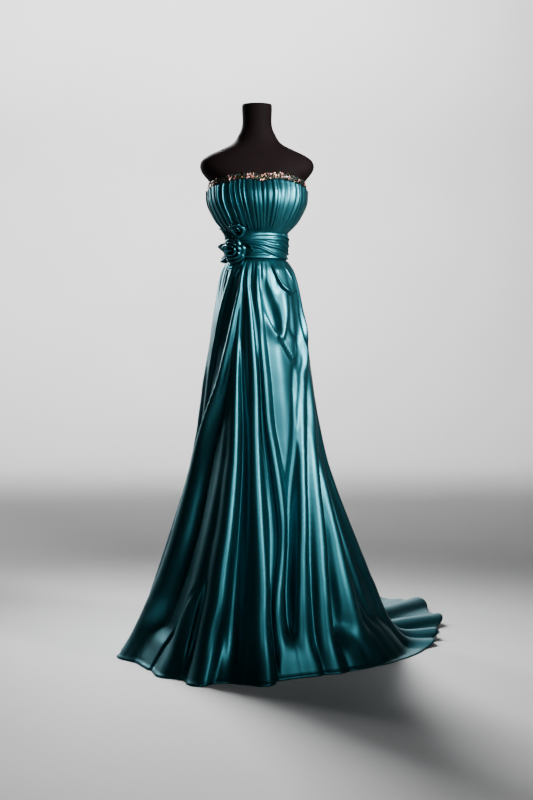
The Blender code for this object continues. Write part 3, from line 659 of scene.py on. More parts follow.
def creases(paths, angle, level, radius, roundness=FOLD_ROUNDNESS):
    """Sums over all folds: out = lift exp(-t^2), aside = lift (roundness t + lean) exp(-t^2).

    t is the distance from the ridge over its half width; a lean tips the ridge to one side.
    """
    out, aside = np.zeros_like(angle), np.zeros_like(angle)
    for lean, path in paths:
        rows = np.array(path, float)[::-1]
        away = half_turn(angle - smooth_table(rows, 1, level))
        lift = smooth_table(rows, 2, level)
        width = np.maximum(smooth_table(rows, 3, level), LEAST_WIDTH)
        t = np.radians(away) * radius / width
        bell = np.exp(-t * t)
        out += lift * bell
        aside += np.abs(lift) * (roundness * t + lean) * bell
    return out, aside


# %% [markdown]
# ## The sash
#
# The sash is wide satin, folded along its length and pulled round the waist to the rosette. Nearly
# flat above, its folds cross from the left side down to the right and bunch at the side seam and
# the rosette. The back has even folds that lean.

# %% Sash
# Folds across the front: angle, then in millimetres height above the lower edge, out, half width.
SASH_FOLDS = (
    ((-90, 72, 3, 4), (-50, 66, 3, 4), (0, 74, 1, 4), (40, 74, 2, 3), (90, 64, 4, 3)),
    ((-90, 60, 3, 4), (-50, 58, 4, 4), (-5, 62, 1, 5), (25, 62, 2, 4), (52, 61, 4, 3),
     (70, 52, 4, 3), (90, 40, 3, 3)),
    ((-90, 48, 4, 3), (-50, 50, 4, 3), (-12, 50, 4, 3), (6, 47, 4.5, 3), (22, 41, 4, 3),
     (45, 34, 4, 3), (68, 24, 4, 3), (90, 18, 4, 3)),
    ((-90, 36, 4, 3), (-50, 40, 4, 3), (-14, 41, 4.5, 2.6), (0, 36, 5, 2.8), (14, 27, 5, 2.8),
     (30, 16, 5, 2.8), (52, 7, 4, 3), (90, 4, 4, 3)),
    ((-90, 26, 3, 3), (-50, 30, 4, 3), (-14, 30, 3, 2), (4, 26, 2, 2), (14, 20, 0, 2)),
    ((-90, 15, 3, 3), (-50, 16, 4, 3), (-14, 17, 4, 2.6), (8, 16, 4, 2.6), (22, 10, 1, 2)),
    ((-90, 6, 3, 3), (-50, 5, 3, 3), (0, 5, 3, 3), (40, 3, 2, 3), (90, 5, 2, 3)),
    ((14, 54, 0, 2), (30, 53, 3, 2.4), (48, 48, 3, 2.4), (66, 40, 3, 2.4), (90, 28, 3, 3)),
    ((50, 78, 0, 2), (60, 74, 4, 2.6), (74, 62, 3, 2.6), (90, 52, 2, 3)),
    ((34, 46, 0, 2), (48, 42, 2.5, 2), (64, 34, 3, 2), (90, 22, 2, 3)),
)
SASH_PATHS = [sizes((1, MM, MM, MM), *fold) for fold in SASH_FOLDS]
SASH_LOW_Z = WAIST_Z + SEAM_GAP
SASH_DEPTH_LIMIT = 0.0085
SASH_FOLD_GAIN = 1.65
BACK_FOLDS, BACK_FOLD_OUT, BACK_FOLD_DROOP = 7, 0.0042, 0.0012
SASH_GRID = (201, 94)


def sash_ground(angle, z):
    """The sash's inner face: just off the bodice below it."""
    plain = np.maximum(section(BODICE, angle, z), form_radius(angle, z) + BODICE_IN_SASH)
    return plain + SASH_EASE


def front_folds(angle, up):
    """Every fold's bell curve across the sash, sharpened where two of them meet."""
    total, droop = np.zeros_like(angle), np.zeros_like(angle)
    for rows in SASH_PATHS:
        t = (up - smooth_table(rows, 1, angle)) / smooth_table(rows, 3, angle)
        begin, end = rows[0, 0], rows[-1, 0]
        inside = window(angle, begin - 1.0, begin + 1.0, end - 1.0, end + 1.0)
        inside = inside + (end >= SIDE_SEAM)
        lift = np.maximum(smooth_table(rows, 2, angle), 0.0) * np.clip(inside, 0.0, 1.0)
        bell = lift * np.exp(-np.abs(t) ** 1.6)
        total = np.maximum(total, bell) + 0.25 * np.minimum(total, bell)
        droop += 0.35 * lift * np.clip(1.0 - t, 0.0, 1.6) * np.exp(-t * t)
    return total, droop


def back_folds(angle, up):
    """A wave across the sash whose phase drifts as it goes round."""
    drift = 0.35 * np.sin(np.radians(angle - 90.0)) + 0.12 * np.sin(np.radians(angle * 5.0))
    phase = up / (SASH_TOP_Z - SASH_LOW_Z) * BACK_FOLDS + drift
    wave = (0.5 + 0.5 * np.cos(2.0 * math.pi * phase)) ** 1.4
    return BACK_FOLD_OUT * wave, BACK_FOLD_DROOP * wave


def sash_surface(first, last, columns, rows):
    """Radius = ground + wall + folds; the folds also droop a little over the cloth below them."""
    tall = SASH_TOP_Z - SASH_LOW_Z
    angle, up = np.meshgrid(np.linspace(first, last, columns), np.linspace(0.0, tall, rows))
    front_out, front_droop = front_folds(np.where(angle > 180.0, angle - 360.0, angle), up)
    back_out, back_droop = back_folds(angle, up)
    is_front = window(angle, -104.0, -84.0, 84.0, 104.0) + rise(angle, 256.0, 276.0)
    out = SASH_FOLD_GAIN * (front_out * is_front + back_out * (1.0 - is_front))
    out = np.minimum(out, SASH_DEPTH_LIMIT) * (0.45 + 0.55 * rise(up, 0.0, 0.012))
    droop = SASH_FOLD_GAIN * (front_droop * is_front + back_droop * (1.0 - is_front))
    z = SASH_LOW_Z + up - droop * window(up, 0.0, 0.004, tall - 0.003, tall)
    radius = sash_ground(angle, SASH_LOW_Z + up) + WALL + out
    return part_seams(place(angle, radius, z), angle, first, last)


for half, first, last, below in HALVES:
    points = sash_surface(first, last, *SASH_GRID)
    cloth_piece(f"sash_{half}", "satin", [points], "gathered", below)

# %% [markdown]
# ## The skirt
#
# Three flared panels hang from the waist seam and stand out in flutes; the two at the back run out
# as a train. The plain shape comes first: the radius grows with the drop, and where the drop is
# used up the cloth turns and lies on the floor.

# %% The plain flared skirt
HEM_BEND = 0.0006
TRAIN_BEND = 0.024
FLOOR_GAP = 0.0006


def hem_of(column, angle):
    """A column of the hem's table, for an angle in any turn."""
    start = HEM[0][0]
    return smooth_table(HEM, column, (angle - start) % 360.0 + start)


def skirt_drop(angle, drop):
    """Radius and height at a drop; the height is softplus(fall), which bends onto the floor."""
    waist = section(BODICE, angle, WAIST_Z + SEAM_GAP)
    hang = np.clip(drop, 0.0, 1.0)
    radius = waist + (hem_of(1, angle) - waist) * smooth_table(FLARE, 1, hang)
    radius = radius + np.maximum(drop - 1.0, 0.0) * WAIST_Z
    soft = HEM_BEND + TRAIN_BEND * rise(hem_of(2, angle), 0.01, 0.15)
    top = WAIST_Z - HALF_SEAM
    z = soft * np.logaddexp(0.0, top * (1.0 - drop) / soft)
    return radius, np.minimum(z, top) + WALL * rise(drop, 0.5, 0.9)


# %% [markdown]
# ### The front's folds
#
# The front was draped, so no two folds are alike and each is listed one by one. Long tubes fan out
# from under the rosette, narrow at the hip and as wide as a hand at the hem. Between them the cloth
# falls into hollows: creases with a negative lift.

# %% Fold paths of the front
# Rows: height in centimetres, angle, then how far out and half width in millimetres. A fold's
# first number is how far it tips to the wearer's left, as a share of its height.
PATH_UNITS = (100.0, 1.0, MM, MM)
FRONT_FOLDS = {
    "right_side": (0.2, (116, -30, 6, 5), (112, -33, 9, 6), (103, -38, 13, 8), (96, -43.5, 16, 10),
     (88, -50, 20, 12), (80, -63, 23, 15), (72, -75, 25, 20), (62, -80, 28, 28), (48, -79, 34, 36),
     (34, -77, 40, 46), (20, -80, 44, 54), (10, -86, 44, 58), (0, -86, 42, 60)),
    "right_waist": (0.0, (122, -50, 3, 5), (112, -60, 7, 8), (100, -68, 9, 10), (90, -76, 9, 13),
     (80, -83, 6, 16), (68, -88, 0, 18)),
    "right_flank": (0.2, (92, -37, 0, 12), (79, -35, 9, 16), (64, -36, 16, 22), (52, -37, 21, 26),
     (40, -37.5, 25, 31), (28, -39, 26, 35), (15, -42.5, 23, 37), (0, -46, 21, 40)),
    "right_toe": (0.0, (27, -41, 0, 12), (22, -43, 4, 13), (16, -45, 7, 17), (10, -46, 10, 22),
     (0, -46, 12, 28)),
    "front_right": (0.45, (102, -29, 2, 6), (96, -29, 8, 8), (88, -29, 14, 10), (77, -28, 22, 14),
     (66, -27.3, 30, 16), (57, -27.5, 36, 19), (43, -27.4, 43, 22), (32, -28, 48, 26),
     (22, -28, 51, 29), (14, -29.5, 52, 31), (0, -29, 50, 34)),
    "middle_shoulder": (0.25, (116, -21, 3, 5), (98, -18, 6, 8), (82, -16, 9, 12),
     (64, -14, 13, 15), (46, -13, 16, 18), (16, -12, 15, 22), (0, -11, 12, 24)),
    "front_middle": (0.42, (125, -21.5, 4, 4.5), (119, -20, 7, 5), (110, -15.6, 11, 7),
     (101, -12.8, 15, 9), (88, -9.8, 20, 11), (73, -9.3, 28, 13), (58, -8.1, 35, 16),
     (43, -6.5, 41, 19), (29, -5.5, 47, 22), (15, -5.8, 52, 26), (5, -4.8, 55, 30),
     (0, -4.4, 55, 32)),
    "front_left": (-0.4, (119, -3.8, 4, 5), (113, -2.4, 7, 6), (107, 0.4, 10, 7), (100, 2.8, 13, 8),
     (88, 7.1, 18, 10), (73, 10.7, 22, 11), (64, 15.1, 24, 12), (55, 17.5, 25, 13),
     (46, 18.5, 25, 14), (38, 17.5, 25, 15), (32, 14.5, 25, 16), (25, 11, 26, 18),
     (19, 9.5, 28, 20), (13, 10, 29, 22), (0, 12, 30, 28)),
    "left_panel": (0.0, (102, 20, 4, 24), (84, 26, 10, 38), (70, 30, 10, 42), (52, 29, 6, 44),
     (36, 26, 0, 40)),
    "left_front": (-0.15, (110, 90, 2, 8), (104, 85, 6, 9), (98, 78, 9, 10), (93, 70, 9, 12),
     (88, 64, 9, 13), (83, 60.7, 9, 14), (76, 55, 11, 15), (66, 48.2, 16, 17), (57, 41.8, 21, 19),
     (48, 36.4, 26, 21), (39, 31.7, 30, 23), (28, 27, 32, 26), (20, 24.5, 33, 28), (12, 23, 34, 30),
     (0, 22, 34, 34)),
    "left_knee": (0.15, (102, 86, 2, 10), (94, 80, 6, 12), (85, 75, 10, 13), (78, 71.5, 14, 14),
     (72, 68, 17, 16), (66, 65.4, 20, 18), (57, 58, 24, 19), (48, 52, 28, 21), (39, 47.3, 31, 23),
     (27, 41, 34, 25), (15, 37, 36, 27), (0, 35, 36, 32)),
    "left_side": (0.1, (70, 79, 0, 12), (61, 74, 10, 13), (55, 71, 15, 15), (44, 67, 21, 18),
     (35, 64.8, 26, 21), (27, 62, 30, 24), (19, 60.5, 33, 27), (12, 60.5, 34, 30), (0, 65, 34, 36)),
    "left_edge": (0.0, (100, 99, 4, 14), (75, 97, 12, 18), (56, 95, 20, 22), (33, 94, 28, 30),
     (13, 95, 32, 36), (0, 96, 32, 40)),
    "hip_pillar": (0.35, (119, 42, 0, 14), (114, 37, 11, 18), (107, 33, 15, 16), (104, 30, 12, 12),
     (102, 27, 7, 9), (100, 25, 0, 8)),
}
FRONT_HOLLOWS = (
    # Over the hip: the hollow under the pouch, and the valley beside the tongue.
    ((124, 0, 0, 6), (118, 4, -9, 13), (113, 11, -14, 18), (109, 16, -15, 16), (105, 21, -12, 11),
     (102, 24, 0, 6)),
    ((117, 62, 0, 10), (113, 69, -12, 15), (107, 71, -17, 18), (101, 67, -16, 16),
     (97, 61, -11, 14), (93, 54, -4, 12), (90, 51, 0, 10)),
    # Between the long folds, from the wearer's right to left.
    ((98, -34, 0, 6), (88, -40, -9, 11), (80, -47, -12, 14), (69, -58, -14, 18), (60, -61, -15, 21),
     (42, -61, -18, 26), (26, -64, -12, 30), (14, -66, 0, 30)),
    ((27, -38, 0, 5), (17, -48, -10, 7), (8, -54, -12, 8), (0, -56, -10, 10)),
    ((29, -33, 0, 6), (22, -34.5, -14, 10), (14, -35.5, -22, 12), (7, -35.5, -22, 14),
     (0, -34, -14, 14)),
    ((101, -24.5, 0, 6), (88, -22.5, -8, 9), (73, -20.5, -14, 12), (58, -19, -17, 14),
     (43, -17.8, -18, 16), (21, -17.5, -17, 18), (10, -16.5, -14, 17), (0, -16, -6, 16)),
    ((98, -2.5, 0, 5), (88, -0.5, -6, 6), (73, 1, -10, 9), (58, 5, -13, 12), (42, 6.5, -15, 14),
     (28, 4, -16, 15), (16, 2.5, -15, 15), (6, 3, -6, 15), (0, 3, 0, 15)),
    ((93, 47, -2, 10), (87, 45, -7, 10), (79, 40, -4, 9), (73, 38.5, -6, 10), (66, 36.5, -11, 13),
     (57, 31.5, -15, 15), (45, 26.5, -17, 15), (33, 21.5, -19, 14), (21, 17.5, -19, 13),
     (14, 15.8, -14, 12), (8, 14, -2, 10)),
    ((66, 58, 0, 10), (50, 46, -4, 11), (32, 36, -5, 12), (15, 30, -4, 12), (0, 28, 0, 12)),
    ((52, 66, -2, 10), (45, 60.5, -9, 12), (36, 56, -16, 14), (27, 51.5, -20, 16),
     (17, 48.5, -21, 18), (10, 47, -15, 19), (4, 47, -3, 19)),
    ((55, 80, -6, 8), (44, 77, -10, 10), (35, 76, -11, 11), (27, 75, -11, 13), (19, 75, -10, 15),
     (8, 78, -4, 17)),
)
front_paths = [(lean, sizes(PATH_UNITS, *path)) for lean, *path in FRONT_FOLDS.values()]
hollow_paths = [(0.0, sizes(PATH_UNITS, *path)) for path in FRONT_HOLLOWS]

# The back's flutes: angle at the waist, hip, knee and hem, half width at the hem, height, start.
BACK_FLUTES = sizes(
    (1, 1, 1, 1, MM, MM, 1),
    (112, 110, 107, 105, 36, 38, 0.08), (126, 125, 123, 121, 38, 44, 0.05),
    (141, 140, 139, 137, 40, 46, 0.04), (156, 155, 154, 153, 40, 48, 0.04),
    (170, 169, 169, 168.5, 36, 46, 0.04), (190, 191, 191, 191.5, 36, 48, 0.04),
    (205, 206, 207, 208, 40, 46, 0.05), (222, 223, 225, 227, 38, 44, 0.06),
    (240, 241, 243, 245, 36, 36, 0.1), (262, 260, 259, 259, 32, 30, 0.16),
)
print(len(front_paths), "folds,", len(hollow_paths), "hollows,", len(BACK_FLUTES), "back flutes")

# %% [markdown]
# ### Flutes, gathers and pockets
#
# The back's flutes follow one rule, from four angles each. Fine gathers fan out from the waist
# seam. Near the floor the front's hollows end in round pockets: below them the hem, which stands on
# the floor, pushes the cloth out again.

# %% Flutes, gathers and pockets
GATHERS = 64
GATHER_SEED = 21
GATHER_ROUNDNESS = 0.8
FLUTE_WAIST_SHARE = 0.20
FLUTE_DROPS = (0.0, 0.06, 0.12, 0.2, 0.3, 0.45, 0.6, 0.75, 0.9, 1.0)
# How strong the gathers are: angle, share.
GATHER_SHARES = (
    (-90, 0.7), (-60, 1), (-20, 1), (8, 0.9), (20, 0.45), (30, 0.15), (80, 0.15), (110, 0.8),
    (250, 0.8), (270, 0.7),
)
# Where each hollow ends above the floor: angle, height, how fully it is filled below.
POCKET_ENDS = (
    (-90, 0.12, 0.4), (-64, 0.1, 0.45), (-52, 0.09, 0.4), (-35, 0.02, 0.1), (-17, 0.03, 0.2),
    (3, 0.04, 0.4), (14, 0.1, 1), (30, 0.05, 0.4), (48, 0.09, 0.8), (76, 0.1, 0.6), (96, 0.08, 0.4),
)
POCKET_LIP = 0.07
FRONT_RELIEF = 0.034


def flute_path(flute):
    """A back flute's four angles as a crease path, growing from its start to the hem."""
    waist, hip, knee, hem, half_width, height, start = flute
    angles = ((0.0, waist), (0.33, hip), (0.66, knee), (1.0, hem))
    path = []
    for drop in FLUTE_DROPS:
        grown = rise(drop, start, start + 0.14)
        grown = grown * (FLUTE_WAIST_SHARE + (1.0 - FLUTE_WAIST_SHARE) * rise(drop, 0.0, 0.85))
        width = half_width * (FLUTE_WAIST_SHARE + (1.0 - FLUTE_WAIST_SHARE) * drop)
        path.append((WAIST_Z * (1.0 - drop), smooth_table(angles, 1, drop), height * grown, width))
    return path


def gather_path(dice, i):
    """A fine ridge from the waist seam, uneven in place, length and depth."""
    angle = -90.0 + 360.0 * (i + dice.uniform(-0.3, 0.3)) / GATHERS
    length = dice.uniform(0.05, 0.17)
    lift = dice.uniform(0.0014, 0.0034)
    width = dice.uniform(0.0022, 0.0036)
    lean = dice.uniform(-3.0, 3.0)
    return (
        (WAIST_Z, angle, lift, width),
        (WAIST_Z - length * 0.4, angle + lean * 0.4, lift * 1.1, width * 1.4),
        (WAIST_Z - length, angle + lean, 0.0, width * 2.2),
    )


def folded_lift(angle, level, radius):
    """All creases of the skirt: how far out, and how far aside."""
    back_paths = [(0.0, flute_path(flute)) for flute in BACK_FLUTES]
    out, aside = creases(front_paths + hollow_paths + back_paths, angle, level, radius)
    dice = np.random.default_rng(GATHER_SEED)
    fine_paths = [(0.0, gather_path(dice, i)) for i in range(GATHERS)]
    fine_out, fine_aside = creases(fine_paths, angle, level, radius, GATHER_ROUNDNESS)
    strong = smooth_table(GATHER_SHARES, 1, angle)
    return out + fine_out * strong, aside + fine_aside * strong


# %% [markdown]
# ### The two folds over the left hip
#
# Cloth pulled up under the sash falls over the left hip in two soft tongues, whose rims stand clear
# of the skirt. We lift everything above a rim, let the lift die away behind it, and roll the rim a
# little way over its own shadow.

# %% Hip folds
# Rim of the lower fold: height, angle. Its right-hand edge: height, angle.
LOWER_RIM = sizes(
    (MM, 1),
    (935, 45.5), (948, 41), (976, 33.2), (992, 29.6), (1007, 25.5), (1030, 20), (1070, 11.5),
    (1130, 1), (1180, -3), (1250, -4),
)
LOWER_EDGE = sizes(
    (MM, 1),
    (935, 46.5), (950, 50.5), (970, 52.5), (1001, 51), (1039, 43), (1060, 38),
)
# Rim of the upper fold: angle, height. Its upper edge: angle, height.
UPPER_RIM = sizes(
    (1, MM),
    (14, 1258), (23, 1221), (29, 1191), (36, 1169), (44, 1157), (53, 1155), (61, 1161), (68, 1178),
)
UPPER_EDGE = sizes(
    (1, MM),
    (14, 1275), (38, 1270), (45, 1252), (51, 1226), (57, 1201), (63, 1184), (70, 1168),
)
LOWER_LIFT = 0.012
RIDGE_LIFT = 0.010
UPPER_LIFT = 0.016
UPPER_DROOP = 0.004
UPPER_LIP = 0.009


def hip_folds(angle, z):
    """Lift, sideways roll and drop of the pouch and the tongue."""
    past = angle - smooth_table(LOWER_RIM, 1, z)
    before = smooth_table(LOWER_EDGE, 1, z) - angle
    ends = window(z, 0.930, 0.950, 1.000, 1.056)
    lower = LOWER_LIFT * rise(past, -0.5, 2.0) * rise(before, -5.0, 4.0) * ends
    roll = -1.8 * np.exp(-(((past - 1.4) / 2.0) ** 2)) * ends
    along = window(z, 0.975, 1.065, 1.190, 1.250)
    ridge = np.where(past < 0.0, np.exp(-((past / 13.0) ** 2)), np.exp(-((past / 1.8) ** 2)))
    roll = roll + 1.5 * np.exp(-(((past + 0.6) / 1.8) ** 2)) * along
    above = z - smooth_table(UPPER_RIM, 1, angle)
    below = smooth_table(UPPER_EDGE, 1, angle) - z
    ends = window(angle, 13.0, 30.0, 61.0, 70.0)
    body = rise(above, -0.006, 0.007) * rise(below, -0.014, 0.012)
    dish = 1.0 - 0.25 * rise(above, 0.007, 0.018) * rise(below, 0.002, 0.016)
    upper = UPPER_LIFT * body * ends * dish
    sink = UPPER_DROOP * np.exp(-(((above - 0.006) / UPPER_LIP) ** 2)) * ends
    return np.maximum(lower + RIDGE_LIFT * ridge * along, upper), roll, sink


# %% [markdown]
# ### Putting the skirt together
#
# One function gives every point. Where the cloth hangs, folds push it outwards; where it lies, they
# push it up; in between the direction turns. The panels are three ranges of angle of one surface,
# so they meet exactly, a seam gap apart.

# %% Skirt panels
TRAIN_RIPPLES = 0.0042
SCALLOP = 0.0075
SEAM_SWELL = 0.0050
VALLEY_DEPTH = 0.006
SOFT_DENT = 0.0004
# Share of the rows, share of the panel's length: rows are close where the folds are small.
FRONT_ROWS = ((0.0, 0.0), (0.36, 0.09), (0.58, 0.28), (0.79, 0.79), (1.0, 1.0))
BACK_ROWS = ((0.0, 0.0), (0.16, 0.06), (0.45, 0.45), (1.0, 1.0))


def skirt_surface(first, last, columns, rows, knots):
    """Plain skirt + folds, moved along a direction that tips from outwards to upwards."""
    spread = np.interp(np.linspace(0.0, 1.0, rows), *np.transpose(knots))
    angle, share = np.meshgrid(np.linspace(first, last, columns), spread[::-1])
    run = hem_of(2, angle)
    drop = share * (1.0 + run / WAIST_Z)
    radius, z = skirt_drop(angle, drop)
    level = WAIST_Z * (1.0 - drop)
    lift, aside = folded_lift(angle, level, radius)
    lying = rise(drop, 0.72, 1.22) * rise(run, 0.02, 0.16)
    ends = smooth_table(POCKET_ENDS, 1, half_turn(angle))
    filled = rise(ends - level, -POCKET_LIP / 2.0, POCKET_LIP / 2.0)
    filled = filled * smooth_table(POCKET_ENDS, 2, half_turn(angle))
    filled = filled * rise(angle, -96.0, -84.0) * (1.0 - rise(angle, 84.0, 96.0))
    lift = lift + np.maximum(FRONT_RELIEF - lift, 0.0) * filled
    hip, roll, sink = hip_folds(angle, z)
    lift = lift - VALLEY_DEPTH * rise(drop, 0.15, 0.5) * (1.0 - lying) + hip
    lift = lift * rise(drop, 0.0, 0.03) * (1.0 - 0.25 * lying)
    lift = lift + SEAM_SWELL * rise(drop, 0.0, 0.007) * (1.0 - rise(drop, 0.02, 0.14))
    ripple = np.sin(np.radians(angle) * 26.0 + 9.0 * drop) + np.sin(np.radians(angle) * 41.0)
    lift = lift + TRAIN_RIPPLES * lying * (1.0 + 0.5 * ripple)
    bend = np.radians(angle) * radius
    dents = np.sin(88.0 * bend + 31.0 * level) * np.sin(47.0 * bend - 23.0 * level + 2.0)
    finer = 0.6 * np.sin(61.0 * bend + 52.0 * level + 4.0)
    dents = dents + finer * np.sin(36.0 * level - 29.0 * bend)
    lift = lift + SOFT_DENT * dents * rise(drop, 0.04, 0.16)
    tilt = math.pi / 2.0 * lying
    edge = rise(share, 0.94, 1.0) * rise(run, 0.05, 0.2)
    radius = radius + lift * np.cos(tilt) + SCALLOP * edge * np.sin(np.radians(angle) * 46.0)
    z = np.maximum(z + lift * np.sin(tilt) - sink, WALL + FLOOR_GAP)
    turned = angle + np.degrees(aside / radius) + roll
    return part_seams(place(turned, radius, z), angle, first, last)


# Panel, its two seams, columns, rows, and how the rows are spread.
SKIRT_PANELS = (
    ("front", -SIDE_SEAM, SIDE_SEAM, 321, 128, FRONT_ROWS),
    ("back_left", SIDE_SEAM, BACK_SEAM, 221, 152, BACK_ROWS),
    ("back_right", BACK_SEAM, 360.0 - SIDE_SEAM, 211, 144, BACK_ROWS),
)
for panel, *shape in SKIRT_PANELS:
    points = skirt_surface(*shape)
    cloth_piece(f"skirt_{panel}", "satin", [points], "hung", f"bodice_{panel}_satin")

# %% [markdown]
# ## The rosette
#
# Two rolled roses, three leaves, two loops and a tail sit on the sash at the wearer's right. All
# are drawn on one ground: a place along the sash and up, and a height out from the cloth, so that
# none sinks in. A rose is a rolled strip with petals round it.

# %% Rosette ground
ROSE_ANGLE = -47.0
ROSE_Z = 1.2850
ROSE_GROUND_RADIUS = 0.100
ROSETTE_GAP = 0.0006
ROSETTE_WALL = 0.0008
SASH_FOLD_OUT = 0.0045
GATHER_OUT = 0.0034


def rosette_ground(angle, z):
    """The outermost cloth there: the sash, the bodice above it and the skirt below it."""
    on_sash = np.clip(z, SASH_LOW_Z, SASH_TOP_Z)
    sash_out = sash_ground(angle, on_sash) + WALL + SASH_FOLD_OUT
    bodice_out = section(BODICE, angle, np.maximum(z, SASH_TOP_Z))
    bodice_out = bodice_out + PLEAT_DEPTH * rise(z, SASH_TOP_Z, SASH_TOP_Z + 0.030)
    drop = np.maximum(WAIST_Z - z, 0.0) / WAIST_Z
    radius, _ = skirt_drop(angle, drop)
    out, _ = creases(front_paths, angle, np.minimum(z, WAIST_Z), radius)
    skirt_out = radius + (out + GATHER_OUT) * rise(drop, 0.0, 0.03)
    return np.maximum(np.maximum(sash_out, bodice_out), skirt_out)


def on_rosette(along, up, lift):
    """A point from its place along the sash, up, and out from the cloth."""
    angle = ROSE_ANGLE + np.degrees(along / ROSE_GROUND_RADIUS)
    z = ROSE_Z + up
    return place(angle, rosette_ground(angle, z) + ROSETTE_GAP + lift, z)


def rosette_piece(node, grids, below):
    """A piece of thin satin whose wall grows to both sides of its grids."""
    cloth_piece(node, "satin", grids, "folded", below, ROSETTE_WALL, 0.0)


# %% [markdown]
# A petal is a cupped patch: it starts at the rose's middle, rises, leans out and rolls over at its
# rim, and is widest two thirds of the way out.

# %% Roses
CORE_START = 0.0022
CORE_GRID, PETAL_GRID = (90, 10), (23, 15)
# Petals: turn in degrees, inner and outer radius, half angle, height, curl.
MAIN_PETALS = sizes(
    (1, MM, MM, 1, MM, 1),
    (2, 20, 38.5, 0.8, 20, 0.42), (-62, 19, 39, 0.85, 18, 0.4), (58, 20, 37, 0.8, 19, 0.45),
    (118, 19, 40, 0.8, 20, 0.35), (176, 20, 43, 0.8, 22, 0.3), (238, 19, 41, 0.85, 19, 0.4),
    (26, 13, 29, 0.95, 30, 0.36), (-44, 12, 28.5, 0.95, 29, 0.3), (102, 13, 28, 0.9, 30, 0.34),
    (168, 12, 30, 0.95, 32, 0.28), (232, 13, 29, 0.95, 29, 0.3), (-8, 8, 18.5, 1.15, 37, 0.24),
    (112, 8, 18, 1.15, 36, 0.22), (230, 8, 18.5, 1.15, 38, 0.2),
)
SMALL_PETALS = sizes(
    (1, MM, MM, 1, MM, 1),
    (12, 8, 25, 0.95, 15, 0.4), (84, 7.5, 22.5, 0.85, 14, 0.35), (152, 8, 24, 0.9, 15, 0.35),
    (222, 8, 22.5, 0.9, 13, 0.4), (296, 8, 23.5, 0.9, 13.5, 0.4), (48, 5, 13, 1.1, 20, 0.25),
    (190, 5, 12.5, 1.2, 19, 0.25),
)


def spiral_core(along, up, radius, turns, height):
    """A strip whose radius grows with the turn; its rim waves and leans in."""
    roll, share = grid_of(0.0, 1.0, *CORE_GRID)
    turn = 2.0 * math.pi * turns * roll
    reach = (CORE_START + (radius - CORE_START) * roll) * (1.0 - 0.25 * share)
    rim = 1.0 + 0.10 * np.sin(2.3 * turn) * rise(share, 0.3, 1.0) * roll
    lift = height * (1.0 - 0.12 * roll) * rim * share
    return on_rosette(along + reach * np.cos(turn), up + reach * np.sin(turn), lift)


def petal(along, up, turn, inner, outer, half_angle, height, curl):
    """A cup: its radius grows to the rim, its height is a quarter sine, and the rim rolls over."""
    turn = math.radians(turn)
    across, share = grid_of(-1.0, 1.0, *PETAL_GRID)
    spread = half_angle * (0.45 + 0.55 * np.sin(math.pi * share * 0.62) ** 0.8)
    angle = turn + spread * across + 0.10 * np.sin(3.0 * share + 5.0 * turn)
    over = rise(share, 0.72, 1.0)
    rim = 1.0 - 0.16 * across**2 * share + 0.06 * share * np.sin(4.0 * across + 7.0 * turn)
    reach = (inner + (outer - inner) * (share**1.3 + 0.10 * over)) * rim
    ruffle = 1.0 + share * (0.10 * np.sin(5.0 * across + 3.0 * turn) - 0.30 * across**2)
    lift = height * (np.sin(share * math.pi / 2.0) * ruffle - curl * over**2)
    return on_rosette(along + reach * np.cos(angle), up + reach * np.sin(angle), lift)


def rose(along, up, petals, *core):
    """A rolled core and its petals."""
    return [spiral_core(along, up, *core)] + [petal(along, up, *shape) for shape in petals]


main = rose(0.0, 0.0, MAIN_PETALS, 0.0100, 1.7, 0.037)
rosette_piece("rose_main", main, "sash_front_satin")
small = rose(0.012, 0.0615, SMALL_PETALS, 0.0045, 1.0, 0.016)
rosette_piece("rose_small", small, "bodice_front_satin")

# %% [markdown]
# Leaves are bias-cut satin folded to a point. Loops are ribbon set on its edge round a small oval,
# so that the dark inside of the loop shows.

# %% Leaves, loops and tail
# Name, cloth below, root and tip along the sash and up, half width, how far the tip lifts.
LEAVES = (
    ("upper", "bodice_front", -0.0180, 0.0330, -0.0480, 0.0740, 0.0150, 0.016),
    ("left", "sash_front", -0.0310, 0.0070, -0.0720, 0.0190, 0.0150, 0.022),
    ("low", "sash_front", -0.0280, -0.0140, -0.0660, -0.0300, 0.0140, 0.018),
)
# Name, cloth below, middle along and up, half length, half width, tilt, first and last turn in
# degrees, ribbon width.
LOOPS = (
    ("right", "sash_front", 0.0430, 0.0090, 0.0170, 0.0105, -38.0, 170.0, -60.0, 0.0150),
    ("lower", "skirt_front", 0.0090, -0.0400, 0.0210, 0.0100, 38.0, 60.0, 330.0, 0.0130),
)
# Middle line of the tail: share of its length, along the sash, up.
TAIL = (
    (0, 0.0230, -0.0310), (1 / 3, 0.0240, -0.0440), (2 / 3, 0.0160, -0.0620), (1, 0.0060, -0.0800),
)
LEAF_ROOT, LEAF_FOLD, LEAF_WAVE = 0.0010, 0.0040, 0.0014
TAIL_HALF_WIDTH, TAIL_RISE = 0.0055, 0.003
LEAF_GRID, LOOP_GRID, TAIL_GRID = (21, 31), (61, 11), (11, 41)


def leaf_surface(root_x, root_y, tip_x, tip_y, half_width, tip_lift):
    """Width is a sine of the length, with a crease down the middle and a waved edge."""
    across, length = grid_of(-1.0, 1.0, *LEAF_GRID)
    run = np.array([tip_x - root_x, tip_y - root_y])
    side = np.array([-run[1], run[0]]) / np.hypot(*run)
    width = LEAF_ROOT + half_width * np.sin(np.pi * np.clip(length, 0.0, 1.0) ** 0.8)
    fold = LEAF_FOLD * (1.0 - np.abs(across)) ** 1.5 * np.sin(np.pi * length)
    wave = LEAF_WAVE * np.sin(9.0 * length + across) * across**2
    x = root_x + run[0] * length - side[0] * width * across
    y = root_y + run[1] * length - side[1] * width * across
    return on_rosette(x, y, WALL + tip_lift * length**1.6 + fold + wave)


